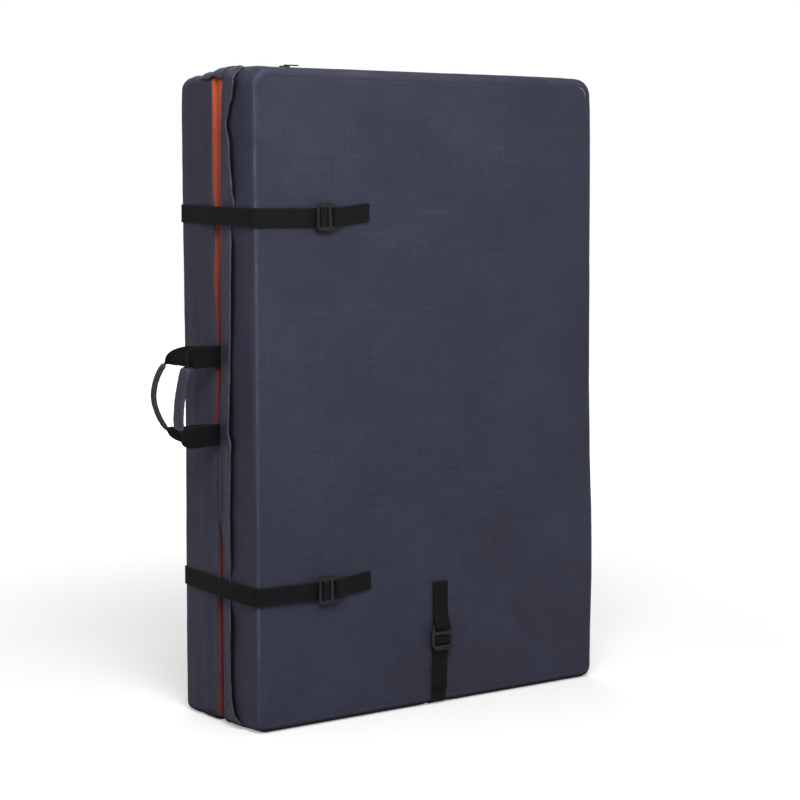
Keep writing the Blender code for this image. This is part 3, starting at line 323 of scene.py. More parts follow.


# Painted shade colours: near black at the slate's foot, dull red along the orange landing's edge in the slit
SLATE = fabric("slate_cloth", linear(55, 56, 74), linear(101, 102, 120), linear(43, 43, 58), painted_shade=linear(15, 15, 19))
ORANGE = fabric("orange_cloth", linear(222, 102, 62), linear(222, 122, 88), linear(160, 58, 32), roughness=0.66,
                streak=0.1, painted_shade=linear(98, 54, 61))
BLACK_CLOTH = fabric("black_cloth", linear(20, 20, 23), linear(44, 44, 50), linear(14, 14, 16), thread=0.0013,
                     streak=0.12)
BLACK_WEB = web_finish("black_web", linear(20, 20, 22), linear(44, 44, 48))
GREY_WEB = web_finish("grey_web", linear(58, 58, 66), linear(92, 92, 100), 0.0016, 0.0014)
TAPE = web_finish("zip_tape_cloth", linear(18, 18, 20), linear(38, 38, 42), 0.0009, 0.0008)
THREAD = web_finish("slate_thread", linear(84, 86, 102), linear(108, 110, 126), 0.0004, 0.0004)
DARK_THREAD = web_finish("black_thread", linear(32, 32, 37), linear(52, 52, 58), 0.0004, 0.0004)
PLASTIC = plastic("moulded_black", linear(20, 20, 22), linear(38, 38, 41))
METAL = metal("plated_zinc", (0.085, 0.085, 0.09, 1), (0.04, 0.04, 0.045, 1))
FIRM = foam("firm_foam_cells", (0.20, 0.20, 0.21, 1), (0.13, 0.13, 0.14, 1), 700.0)
SOFT = foam("soft_foam_cells", (0.75, 0.73, 0.62, 1), (0.6, 0.57, 0.46, 1), 420.0)


# Building meshes


def paint(mesh, name, values):
    """Keeps a number at each point of a mesh, for its finish to read."""
    layer = mesh.attributes.get(name) or mesh.attributes.new(name, "FLOAT", "POINT")
    layer.data.foreach_set("value", values)


def piece(name, verts, faces, finish, uvs=None, wear_and_highlight=None):
    """One object from points in world space, with its UVs in metres and how worn it is and its painted highlight, from
    0 to 1.
    """
    mesh = bpy.data.meshes.new(name)
    mesh.from_pydata([tuple(v) for v in verts], [], faces)
    mesh.materials.append(finish)
    mesh.polygons.foreach_set("use_smooth", [True] * len(mesh.polygons))
    layer = mesh.uv_layers.new(name="metres")
    if uvs:
        for loop, spot in zip(mesh.loops, layer.uv):
            spot.vector = uvs[loop.vertex_index]
    paint(mesh, "wear_and_highlight", wear_and_highlight or [0.0] * len(verts))
    mesh.update()
    obj = bpy.data.objects.new(name, mesh)
    bpy.context.scene.collection.objects.link(obj)
    return obj


def by_side(obj):
    """UVs in metres, each face laid flat from the side that it looks to."""
    mesh = obj.data
    layer = mesh.uv_layers["metres"]
    for face in mesh.polygons:
        n = [abs(c) for c in face.normal]
        for k in face.loop_indices:
            c = mesh.vertices[mesh.loops[k].vertex_index].co
            if n[1] >= max(n[0], n[2]):
                layer.uv[k].vector = (c.x, c.z)
            elif n[0] >= n[2]:
                layer.uv[k].vector = (c.y, c.z)
            else:
                layer.uv[k].vector = (c.y + 2.0, c.x)


def lengths_along(points):
    """The length of a line up to each of its points."""
    out = [0.0]
    for a, b in zip(points, points[1:]):
        out.append(out[-1] + (b - a).length)
    return out


def tube_faces(rows, count, wrap=True, caps=True):
    faces = []
    for i in range(rows - 1):
        a, b = i * count, (i + 1) * count
        for k in range(count if wrap else count - 1):
            j = (k + 1) % count
            faces.append((a + k, a + j, b + j, b + k))
    if caps and wrap:
        faces.append(tuple(range(count - 1, -1, -1)))
        faces.append(tuple(range((rows - 1) * count, rows * count)))
    return faces


def spline(values, parts):
    """Catmull-Rom through the values, each span cut in parts."""
    out = []
    last = len(values) - 1
    for i in range(last):
        a, b, c, d = values[max(i - 1, 0)], values[i], values[i + 1], values[min(i + 2, last)]
        for k in range(parts):
            t = k / parts
            out.append(((b * 2) + (c - a) * t + (a * 2 - b * 5 + c * 4 - d) * (t * t)
                        + (b * 3 - a - c * 3 + d) * (t * t * t)) * 0.5)
    out.append(values[last])
    return out


def rounded(points, radius, steps=3, least=0.15):
    """The line with each sharp corner turned on a small arc."""
    out = [points[0]]
    for a, b, c in zip(points, points[1:], points[2:]):
        before, after = (b - a), (c - b)
        if before.angle(after, 0) < least:
            out.append(b)
            continue
        reach = min(radius * math.tan(before.angle(after) / 2), before.length * 0.45, after.length * 0.45)
        start, end = b - before.normalized() * reach, b + after.normalized() * reach
        for k in range(steps + 1):
            t = k / steps
            out.append(start.lerp(b, t).lerp(b.lerp(end, t), t))
    out.append(points[-1])
    return out


def divided(points, step):
    out = [points[0]]
    for a, b in zip(points, points[1:]):
        count = max(1, round((b - a).length / step))
        out += [a.lerp(b, k / count) for k in range(1, count + 1)]
    return out


BAND_SECTION = [(-1.0, 0.0), (-0.985, 0.62), (-0.945, 1.0), (-0.9, 1.08), (-0.84, 0.98), (-0.5, 0.94), (0.0, 0.94),
                (0.5, 0.94), (0.84, 0.98), (0.9, 1.08), (0.945, 1.0), (0.985, 0.62)]
BAND_SECTION += [(-v, -w) for v, w in BAND_SECTION]


def band(name, points, across, widths, thicks, finish, skew=(0.0, 0.0), wave=0.0, seed=1.0):
    """Woven tape along a line, with thick selvedges. skew cuts its two ends at a slant."""
    count = len(points)
    across, widths, thicks = (k if isinstance(k, list) else [k] * count for k in (across, widths, thicks))
    verts, uvs, wear_and_highlight = [], [], []
    for i, (p, run) in enumerate(zip(points, lengths_along(points))):
        before = (p - points[i - 1]).normalized() if i else None
        after = (points[i + 1] - p).normalized() if i + 1 < count else None
        first = (before or after).cross(across[i]).normalized()
        second = (after or before).cross(across[i]).normalized()
        out = (first + second).normalized()
        out = out / max(out.dot(first), 0.72)
        along = after or before
        tilt = skew[0] if i == 0 else skew[1] if i == count - 1 else 0.0
        shake = wave * ripple(run * 22, 0, seed * 3.1)
        for v, w in BAND_SECTION:
            fray = 0.0002 * ripple(run * 160, v * 3, seed) if abs(v) > 0.9 else 0.0
            spot = p + across[i] * (v * (widths[i] / 2 + fray) + shake)
            verts.append(spot + out * (w * thicks[i] / 2) + along * (tilt * v))
            uvs.append((v * widths[i] / 2, run))
            wear_and_highlight.append(0.5 if abs(v) > 0.88 else 0.12)
    obj = piece(name, verts, tube_faces(count, len(BAND_SECTION)), finish, uvs, wear_and_highlight)
    for face in obj.data.polygons[-2:]:
        face.use_smooth = False
    return obj


def web_band(name, points, across, **looks):
    return band(name, points, across, WEB_WIDTH, WEB, BLACK_WEB, **looks)


def stitches(name, rows, finish, body, pitch=0.0034, size=0.00042):
    """Thread along each row of (point, out) pairs, one spindle to a stitch."""
    share, lowest = 0.72, 0.001
    verts, faces = [], []
    for row in rows:
        lengths = lengths_along([point for point, _ in row])

        def spot(at):
            for k in range(1, len(row)):
                if at <= lengths[k]:
                    t = (at - lengths[k - 1]) / max(lengths[k] - lengths[k - 1], 1e-9)
                    return row[k - 1][0].lerp(row[k][0], t), row[k - 1][1].lerp(row[k][1], t).normalized()
            return row[-1]

        for k in range(int(lengths[-1] / pitch)):
            a, out = spot(k * pitch + pitch * (1 - share) / 2)
            b, _ = spot(k * pitch + pitch * (1 + share) / 2)
            if (b - a).length < pitch * 0.2 or a.z < lowest:
                continue
            side = (b - a).cross(out).normalized()
            mid = a.lerp(b, 0.5) + out * size * 0.5
            n = len(verts)
            verts += [a - out * size * 0.4, mid + side * size, mid + out * size, mid - side * size,
                      b - out * size * 0.4]
            faces += [(n, n + 2, n + 1), (n, n + 3, n + 2), (n + 4, n + 1, n + 2), (n + 4, n + 2, n + 3)]
    uvs = [(v.x + v.y, v.z) for v in verts]
    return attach(piece(name, verts, faces, finish, uvs, [0.2] * len(verts)), body)


def fine_stitches(name, rows, body, size=0.0003):
    """The closer stitching in dark thread on the webbing."""
    stitches(name, rows, DARK_THREAD, body, pitch=0.0026, size=size)


def replace(obj, body, slot_name, *nodes):
    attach(obj, body)
    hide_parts(*nodes)
    return obj


def replace_between(obj, node):
    """For a piece that goes from one body to another: hides the node that it replaces and bakes the piece's place into
    its points.
    """
    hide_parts(node)
    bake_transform(obj)


# The halves

CORNER, SIDE, END = 8, 100, 64
COUNT = 4 * (CORNER + 1) + 2 * (END - 1) + 2 * (SIDE - 1)
ACROSS, UP = END + CORNER, SIDE + CORNER
FAR_STRAPS = (0.6935, 0.186)
FOOT_CORNERS = {"back": 0.45, "front": 0.68}


def between(x0, z0, x1, z1, count, first):
    return [(x0 + (x1 - x0) * k / count, z0 + (z1 - z0) * k / count) for k in range(first, count)]


def outline(half, low, high, radius, tight):
    """Places (x, z) round a rectangle with rounded corners, tighter at the foot, from the bottom left corner on."""
    foot = radius * tight
    right, left, top, rise = half - radius, -half + radius, high - radius, low + foot

    def turn(cx, cz, start, r):
        angles = [start + math.pi / 2 * k / CORNER for k in range(CORNER + 1)]
        return [(cx + r * math.cos(a), cz + r * math.sin(a)) for a in angles]

    return (turn(-half + foot, rise, math.pi, foot) + between(-half + foot, low, half - foot, low, END, 1)
            + turn(half - foot, rise, -math.pi / 2, foot) + between(half, rise, half, top, SIDE, 1)
            + turn(right, top, 0, radius) + between(right, high, left, high, END, 1)
            + turn(left, top, math.pi / 2, radius) + between(-half, top, -half, rise, SIDE, 1))


def frame_ring(half, low, high):
    """As outline, with square corners and even steps, so that a grid fits inside it."""
    points = (between(-half, low, half, low, ACROSS, 0) + between(half, low, half, high, UP, 0)
              + between(half, high, -half, high, ACROSS, 0) + between(-half, high, -half, low, UP, 0))
    shift = CORNER // 2
    return points[-shift:] + points[:-shift]


def crown(x, z, top):
    """How far the face stands proud, easing to its edge on every side."""
    out = 1.0
    for inset in (BASE_HALF_WIDTH - abs(x) - EDGE_RADIUS, min(z, top - z) - EDGE_RADIUS):
        out *= 1 - (1 - clamp(inset / (CROWN_REACH - EDGE_RADIUS))) ** 2
    return FACE_CROWN * out


# The cover's first rings: how far behind the mouth seam each lies, and how far it is tucked in
SEAM_TUCKS = ((0.004, FABRIC * 1.1), (0.0003, FABRIC * 0.9), (0.0, FABRIC * 0.3), (0.0004, -0.0001), (0.0022, 0.0),
              (SEAM_BAND, 0.0))
BAND_STEPS, ARC_STEPS = 15, 11
SEAM_ROWS = len(SEAM_TUCKS)
LAST_ARC = SEAM_ROWS + BAND_STEPS + ARC_STEPS - 1
FACE_SHARES = (0.05, 0.10, 0.15, 0.21, 0.28, 0.38, 0.5, 0.66, 0.83, 1.0)
# Slack in the cover's bands, as (size, waves along, waves across, place in the noise), the last low on the open side
SLACK = ((0.0019, 3.2, 34, 2.0), (0.0010, 8.0, 64, 7.0), (0.0014, 26, 18, 3.0))
# Painted shade on the landing's edge, by height: the slit's shade, deepest low down and gone at the top
LANDING_SHADE = ((0, 0.95), (0.5, 0.95), (0.68, 0.72), (0.80, 0.38), (0.88, 0.0))

# How far round the mouth towards the fold, by height at the open end: the back half's seam, and the line on the front
# half where the side flap is sewn on
BACK_SEAM = ((0.0, 0.0085), (0.002, 0.0085), (0.007, 0.0020), (0.141, 0.0034), (0.196, 0.0040), (0.230, 0.0062),
             (0.262, 0.0086), (0.285, 0.0098), (0.385, 0.0098), (0.405, 0.0005), (0.425, 0.0004), (0.450, 0.0022),
             (0.488, 0.0043), (0.550, 0.0054), (0.615, 0.0018), (0.686, 0.0056), (0.742, 0.0008), (0.79, 0.0008),
             (0.853, 0.0016), (0.884, 0.0014))
FLAP_SEWN = ((0.0, 0.0007), (0.009, 0.0007), (0.141, -0.0018), (0.196, -0.0026), (0.240, -0.0036), (0.268, 0.0016),
             (0.297, 0.0107), (0.395, 0.0107), (0.411, 0.008), (0.45, 0.002), (0.488, -0.0017), (0.550, -0.0037),
             (0.615, -0.0010), (0.686, -0.0054), (0.742, -0.0042), (0.79, -0.0046), (0.853, -0.0074),
             (0.880, -0.0110))


class Half:
    """One half of the pad; side is 1 for the back and -1 for the front."""

    def __init__(self, word, side, top, corner):
        self.word, self.side, self.top, self.corner = word, side, top, corner
        self.body = word + "_half"

    def corner_at(self, depth):
        share = clamp((depth - BAND_START) / (EDGE_DEPTH - BAND_START))
        return MOUTH_CORNER_RADIUS + share * (self.corner - MOUTH_CORNER_RADIUS)

    def shift(self, x, z):
        """How far the mouth seam lies from its even line, towards the fold."""
        rag = 0.0003 * ripple(x * 120, z * 120, 4.0)
        near = smooth((-x - 0.24) / 0.05)
        if self.side > 0:
            return rag + curve(BACK_SEAM, z) * near
        return rag + (min(curve(FLAP_SEWN, z), 0.0) - 0.002) * near

    def profile(self, along):
        """(inset, depth) at this distance from the mouth seam, round the mouth to the landing face."""
        if along < SEAM_FLAT:
            return 0.0, BAND_START - along
        a = min((along - SEAM_FLAT) / MOUTH_RADIUS, math.pi / 2)
        return MOUTH_RADIUS * (1 - math.cos(a)), FOLD_GAP / 2 + MOUTH_RADIUS * (1 - math.sin(a))

    def spots(self, inset=0.0, swell=0.0, draw=0.0, dent=0.0, corner=None):
        """The outline moved in by inset, drawn in along its edges and pressed by the bottom strap."""
        radius = max((corner or self.corner) - inset, 0.004)
        half, low, high = BASE_HALF_WIDTH - inset + swell, inset, self.top - SIDE_BULGE - inset + swell
        out = []
        for x, z in outline(half, low, high, radius, FOOT_CORNERS[self.word]):
            if abs(x) > half - 1e-6:
                x -= math.copysign(draw * (1 - (2 * z / self.top - 1) ** 2), x)
            if z > high - 1e-6:
                z -= draw * (1 - (x / half) ** 2)
            if z < low + 1e-6:
                z += GROOVE_DEPTH * dent * (1 - smooth((abs(x - BOTTOM_STRAP_X) - 0.0145) / 0.006))
            out.append((x, z))
        return out

    def mouth_spots(self):
        """The outline at the mouth, each point beside the same one before the strap presses it."""
        return zip(self.spots(dent=1, corner=MOUTH_CORNER_RADIUS), self.spots(corner=MOUTH_CORNER_RADIUS))

    def edge_radius(self, z):
        """The turn from band to face is rounder along the top of the front half."""
        return EDGE_RADIUS + (0.0 if self.side > 0 else 0.0008 * smooth((z - self.top + 0.034) / 0.026))

    def drawn_in(self, base, insets):
        """The outline moved in by its own amount at each point."""
        unit = 0.001
        out = []
        for (x, z), (ax, az), (bx, bz), inset in zip(base, self.spots(), self.spots(inset=unit), insets):
            out.append((x + (bx - ax) / unit * inset, z + (bz - az) / unit * inset))
        return out

    def pulled(self, x, depth, z, inset):
        """A point of a ring, drawn towards the middle so that the ring's edges move in by inset."""
        mid = self.top / 2
        return x - x / BASE_HALF_WIDTH * inset, depth, z - (z - mid) / mid * inset

    def face_rings(self, edge, shares, depth_at):
        """Rings from the edge of the face in to the frame that its grid fills."""
        target = frame_ring(BASE_HALF_WIDTH - FACE_BORDER, FACE_BORDER, self.top - SIDE_BULGE - FACE_BORDER)
        rings = []
        for share in shares:
            spots = [(x + (tx - x) * share, z + (tz - z) * share) for (x, _, z), (tx, tz) in zip(edge, target)]
            rings.append([(x, depth_at(x, z), z) for x, z in spots])
        return rings

    def skin(self, rings, depth_at):
        """Rings of (x, depth, z) skinned and closed with a grid inside the last one."""
        verts = [place(x, self.side * d, z) for ring in rings for x, d, z in ring]
        faces = tube_faces(len(rings), COUNT, caps=False)
        last, start, edge = (len(rings) - 1) * COUNT, CORNER // 2, rings[-1]
        index = {}
        for i in range(ACROSS + 1):
            index[i, 0] = last + (start + i) % COUNT
            index[i, UP] = last + (start + ACROSS + UP + (ACROSS - i)) % COUNT
        for j in range(UP + 1):
            index[ACROSS, j] = last + (start + ACROSS + j) % COUNT
            index[0, j] = last + (start + 2 * ACROSS + UP + (UP - j)) % COUNT
        (x0, _, z0), (x1, _, z1) = edge[start], edge[(start + ACROSS + UP) % COUNT]
        for j in range(1, UP):
            for i in range(1, ACROSS):
                x, z = x0 + (x1 - x0) * i / ACROSS, z0 + (z1 - z0) * j / UP
                index[i, j] = len(verts)
                verts.append(place(x, self.side * depth_at(x, z), z))
        for j in range(UP):
            for i in range(ACROSS):
                faces.append((index[i, j], index[i + 1, j], index[i + 1, j + 1], index[i, j + 1]))
        if self.side > 0:
            faces = [tuple(reversed(f)) for f in faces]
        return verts, faces

    def cover(self):
        even = self.spots(corner=MOUTH_CORNER_RADIUS)
        rings = []
        for behind, tuck in SEAM_TUCKS:
            corner = self.corner_at(BAND_START + SEAM_BAND) if behind == SEAM_BAND else MOUTH_CORNER_RADIUS
            ring = []
            for (x, z), (ex, ez) in zip(self.spots(dent=1, corner=corner), even):
                inset, depth = self.profile(self.shift(ex, ez) - behind)
                ring.append(self.pulled(x, depth, z, inset + tuck))
            rings.append(ring)
        for k in range(1, BAND_STEPS + 1):
            s = k / BAND_STEPS
            corner = self.corner_at(BAND_START + SEAM_BAND + s * (BAND_END - BAND_START - SEAM_BAND))
            base = self.spots(swell=SIDE_BULGE * math.sin(math.pi * s), dent=1, corner=corner)
            ring = []
            for (x, z), (ex, ez) in zip(base, even):
                first = self.profile(self.shift(ex, ez) - SEAM_BAND)[1]
                ring.append((x, first + s * (EDGE_DEPTH - self.edge_radius(ez) - first), z))
            rings.append(ring)
        radii = [self.edge_radius(z) for x, z in even]
        for k in range(1, ARC_STEPS + 1):
            a = math.pi / 2 * k / ARC_STEPS
            base = self.spots(draw=EDGE_DRAW * math.sin(a), dent=math.cos(a))
            base = self.drawn_in(base, [r * (1 - math.cos(a)) for r in radii])
            rings.append([(x, EDGE_DEPTH - r + r * math.sin(a), z) for (x, z), r in zip(base, radii)])

        def face_at(x, z):
            return EDGE_DEPTH + crown(x, z, self.top)

        rings += self.face_rings(rings[-1], FACE_SHARES, face_at)
        obj = piece("pad_cover_" + self.word, *self.skin(rings, face_at), SLATE)
        self.press(obj.data)
        by_side(obj)
        return obj

    def press(self, mesh):
        """Folds, puckers, the edge seam and slack along the normals; worn edges with painted highlight; painted shade
        at the foot.
        """
        seed = 3.0 if self.side > 0 else 11.0
        normals = [v.normal.copy() for v in mesh.vertices]
        wear_and_highlight = [0.0] * len(mesh.vertices)
        ridge, groove = LAST_ARC - ARC_STEPS * 0.5, LAST_ARC + 1.6
        for k, vertex in enumerate(mesh.vertices):
            row = k // COUNT
            on_ring = row <= LAST_ARC + len(FACE_SHARES)
            c = vertex.co
            x, d, z = c.x - PAD_X, abs(c.y - FOLD), c.z
            out = 0.0009 * ripple(x * 5, d * 5, z * 5, seed) + 0.0004 * ripple(x * 14, d * 14, z * 14, seed)
            inset = min(BASE_HALF_WIDTH - abs(x), z, self.top - z)
            face = smooth((d - BAND_END) / EDGE_RADIUS)
            run = z if abs(x) > BASE_HALF_WIDTH - 0.05 else x
            # slack on the bands: long folds between the two seams, and short ones low on the open side
            if face < 1:
                belly = (1 - face) * math.sin(math.pi * clamp((d - BAND_START) / (BAND_END - BAND_START)))
                low = bell(z - 0.03, 0.06) * smooth((-x - 0.2) / 0.08)
                for (size, along, across, spot), share in zip(SLACK, (1, 1, low)):
                    out += belly * share * size * ripple(run * along, d * across, spot, seed)
            # gathers along the edge seam
            near = bell(inset - 0.016, 0.014) * face + (1 - face) * bell(d - BAND_END, 0.012)
            out += near * 0.00040 * ripple(run * 46, 1.0, 5.0, seed)
            # creases at the corners
            corner = bell(BASE_HALF_WIDTH - abs(x), 0.05) * bell(min(z, self.top - z), 0.05)
            slope = (abs(x) + abs(z - self.top / 2)) * 60
            out += corner * 0.0011 * ripple(slope * 0.55, (x + z) * 9, d * 12, seed)
            # the closure straps hold the cloth
            if x < 0.05 - BASE_HALF_WIDTH:
                out *= 1 - 0.95 * max(bell(z - s, 0.024) for s in FAR_STRAPS)
            if on_ring:
                top_edge = smooth((z - self.top + 0.03) / 0.02)
                out += (0.0006 - 0.0003 * top_edge) * bell(row - ridge, 1.2) - 0.0007 * bell(row - groove, 0.7)
                if row in (SEAM_ROWS, SEAM_ROWS - 1):
                    out += 0.0002 * ripple(run * 60, 3.0, 1.0, seed)
                if row < 4:
                    out = 0.0
                # the ridge is lighter where worn and with painted highlight, less along the top, where a wider painted
                # highlight for light from above lies just inside it
                rubbed = 0.62 + 0.6 * ripple(run * 25, 2.0, d, seed)
                top_highlight_noise = 0.8 + 0.9 * ripple(x * 22, z * 60, 1, seed)
                wear_and_highlight[k] = bell(row - ridge, 1.2) * rubbed * (1 - 0.72 * top_edge) + 0.3 * bell(row - 4, 2.0)
                wear_and_highlight[k] += 0.20 * top_edge * bell(row - ridge - 3, 4.0) * top_highlight_noise
                if z < 0.004:
                    out = min(out, 0.0)
            vertex.co = c + normals[k] * out + X * self.sag(x, d, z)
            vertex.co.z = max(vertex.co.z, 0)
        paint(mesh, "wear_and_highlight", wear_and_highlight)
        # painted shade along the cover's foot, where it meets the floor
        paint(mesh, "painted_shade", [1 - smooth((v.co.z - 0.0044) / 0.0040) for v in mesh.vertices])
        mesh.update()

    def sag(self, x, d, z):
        """How far the front half leans out low on the closed side, past the hinge."""
        if self.side > 0 or x < 0.1:
            return 0.0
        return 0.0052 * bell(z - 0.19, 0.13) * smooth((x - 0.12) / 0.18) * smooth((d - 0.028) / 0.05)

    def landing(self):
        rings = []
        for k in range(-1, 8):
            ring = []
            for (x, z), (ex, ez) in self.mouth_spots():
                start = self.shift(ex, ez)
                inset, depth = self.profile(start - 0.003 if k < 0 else start + (SEAM_END - start) * k / 7)
                ring.append(self.pulled(x, depth, z, inset + (FABRIC if k < 0 else 0.0004 * (1 - k / 7))))
            rings.append(ring)

        def face_at(x, z):
            return FOLD_GAP / 2

        rings += self.face_rings(rings[-1], (0.1, 0.25, 0.45, 0.7, 1.0), face_at)
        verts, faces = self.skin(rings, face_at)
        faces = [tuple(reversed(f)) for f in faces]
        obj = piece("pad_landing_" + self.word, verts, faces, ORANGE)
        seed = 21.0 + self.side
        levels = []
        for vertex in obj.data.vertices:
            c = vertex.co
            x, z = c.x - PAD_X, c.z
            inset, edge = min(BASE_HALF_WIDTH - abs(x), z, self.top - z), BASE_HALF_WIDTH + x
            inward = 0.0006 * (1 + ripple(x * 7, z * 7, 1, seed)) + 0.0003 * (1 + ripple(x * 30, z * 22, 4, seed))
            inward *= smooth((inset - 0.004) / 0.02)
            # the edge puffs into the upper part of the slit, though not over the handles' ends
            puff = 0.0029 * smooth((z - 0.53) / 0.2) * smooth((edge - 0.001) / 0.006)
            puff = puff * (1 - smooth((edge - 0.018) / 0.035)) * smooth(inset / 0.006) * (1 - near_handles(z, 0.024))
            # painted shade along the edge that faces into the slit, deepest low down
            levels.append((1 - smooth((inset - 0.007) / 0.016)) * curve(LANDING_SHADE, z))
            vertex.co = c + Y * (self.side * (inward - puff))
        paint(obj.data, "painted_shade", levels)
        obj.data.update()
        by_side(obj)
        return obj

    def seam_row(self, behind):
        """A row of (point, out) round the band at this distance behind the mouth seam."""
        row = []
        for (x, z), (ex, ez) in self.mouth_spots():
            inset, depth = self.profile(self.shift(ex, ez) - behind)
            out = self.outward(ex, ez)
            row.append((place(x, self.side * depth, z) + out * (0.0002 - inset), out))
        return row + row[:1]

    def edge_row(self, inset):
        """A row of (point, out) on the face, this far in from its edge."""
        even = self.spots()
        row = []
        for x, z in self.drawn_in(even, [self.edge_radius(z) + inset for x, z in even]):
            x += self.sag(x, EDGE_DEPTH, z)
            depth = EDGE_DEPTH + crown(x, z, self.top) + 0.0001
            row.append((place(x, self.side * depth, z), Y * self.side))
        return row + row[:1]

    def outward(self, x, z):
        mid = self.top / 2
        wide, tall = BASE_HALF_WIDTH - MOUTH_CORNER_RADIUS, mid - MOUTH_CORNER_RADIUS
        out = Vector((x - clamp(x, -wide, wide), 0, z - mid - clamp(z - mid, -tall, tall)))
        return out.normalized() if out.length > 1e-6 else Z.copy()


back = Half("back", 1, BACK_TOP, BACK_CORNER_RADIUS)
front = Half("front", -1, PAD_HEIGHT, FRONT_CORNER_RADIUS)
for half in (back, front):
    half.covering = replace(half.cover(), half.body, "slate_fabric", "cover_" + half.word)
    landing = replace(half.landing(), half.body, "orange_fabric", "landing_" + half.word)
    stitches("seam_stitches_" + half.word, [half.seam_row(0.0030), half.edge_row(0.0022)], THREAD, half.body)


# Closure straps, tabs and buckles

LIP_BAR, GRIP_BAR, END_BAR, LIP_SLOT = 0.0065, 0.006, 0.004, 0.0045
BUCKLE_LENGTH, BUCKLE_PLATE = 0.0365, 0.003
BUCKLE_FROM_EDGE = {"upper": 0.091, "lower": 0.091, "bottom": 0.0795}
TAB_LENGTH = {"upper": 0.0565, "lower": 0.0565, "bottom": 0.0625}
STRAP_HEIGHT = {"upper": FAR_STRAPS[0], "lower": FAR_STRAPS[1], "bottom": 0}
WRAP_GAP = 0.0004
TAB_TAPER, TAB_RISE, BACK_RISE = 0.016, 0.006, 0.005
STRAP_ANCHOR, TAIL_INTO_BAND, BOTTOM_TAIL_RISE, SIDE_STAND_OFF = 0.095, 0.080, 0.022, 0.0022
STRAP_OFF_START, STRAP_OFF_END = 0.012, 0.056
LINE_STEP, LINE_TURN = 0.006, 0.0016
GRIP_START = LIP_BAR + LIP_SLOT
GRIP_END = GRIP_START + GRIP_BAR
END_AXIS = BUCKLE_LENGTH - END_BAR / 2
STRAP_W = STRAP_GAP + WEB / 2
TAIL_W = STRAP_W + WEB + LAYER_GAP
PLATE_BOTTOM = TAIL_W + WEB / 2 + LAYER_GAP
PLATE_TOP = PLATE_BOTTOM + BUCKLE_PLATE
PLATE_MIDDLE = PLATE_BOTTOM + BUCKLE_PLATE / 2
END_LOOP = math.hypot(END_BAR, BUCKLE_PLATE) / 2 + WRAP_GAP + WEB / 2
FACE_INSETS = [EDGE_RADIUS + s * (BASE_HALF_WIDTH - EDGE_RADIUS) for s in (0.07, 0.16, 0.3, 0.46, 0.64, 0.9)]


def face_rise(inset):
    share = min(inset / CROWN_REACH, 1)
    return FACE_CROWN * (1 - (1 - share) ** 2)


def face_depth(inset):
    """Depth of the outer face over a strap, at this distance from the outline."""
    knots = [EDGE_RADIUS, *FACE_INSETS]
    rises = [0, *(face_rise(k) for k in FACE_INSETS)]
    inset = clamp(inset, knots[0], knots[-1])
    for (a, b), (low, high) in zip(zip(knots, knots[1:]), zip(rises, rises[1:])):
        if inset <= b:
            return EDGE_DEPTH + low + (high - low) * (inset - a) / (b - a)
    return EDGE_DEPTH + rises[-1]


class Lay:
    """A local frame on a face: u along the strap, v across, w out of the face."""

    def __init__(self, origin, along, across, out):
        self.origin, self.along, self.across, self.out = Vector(origin), along, across, out

    def at(self, u, v, w):
        return self.origin + self.along * u + self.across * v + self.out * w

    def line(self, spots):
        """Points from (along, out) pairs."""
        return [self.at(u, 0, w) for u, w in spots]


def thread(tail):
    """The strap's middle line round the grip bar, then back under the lip."""
    middle = (GRIP_START + GRIP_END) / 2
    wrap = WRAP_GAP + WEB / 2
    reach = GRIP_BAR / 2 + wrap
    over = PLATE_TOP + wrap
    cut = wrap / 2
    line = [(GRIP_START, STRAP_W), (middle + reach / 2, STRAP_W), (middle + reach, STRAP_W + WEB)]
    line += [(middle + reach, over - cut), (middle + reach - cut, over)]
    line += [(middle - reach + cut, over), (middle - reach, over - cut)]
    line += [(middle - reach, PLATE_BOTTOM + WEB / 2), (middle - reach - WEB, TAIL_W), (0, TAIL_W)]
    return line + [(u, TAIL_W) for u in tail]


def tab_line(length, axis=END_AXIS, folded=None):
    line = [(axis + length, STRAP_W), (axis + END_LOOP, STRAP_W)]
    for k in range(-6, 7):
        a = math.pi / 2 * k / 6
        line.append((axis - END_LOOP * math.cos(a), PLATE_MIDDLE + END_LOOP * math.sin(a)))
    return line + [(axis + TAB_TAPER, TAIL_W), (axis + (folded or length), TAIL_W)]


def strap_lift(kind):
    """Depth of the face under a buckle and its tab."""
    base = 0 if kind == "bottom" else SIDE_BULGE
    return face_depth(BUCKLE_FROM_EDGE[kind] - base + END_AXIS + TAB_LENGTH[kind])


def front_lay(kind):
    start = BUCKLE_FROM_EDGE[kind]
    if kind == "bottom":
        return Lay(place(BOTTOM_STRAP_X, -strap_lift(kind), start), Z, X, -Y)
    return Lay(place(OPEN_X + start, -strap_lift(kind), STRAP_HEIGHT[kind]), X, Z, -Y)


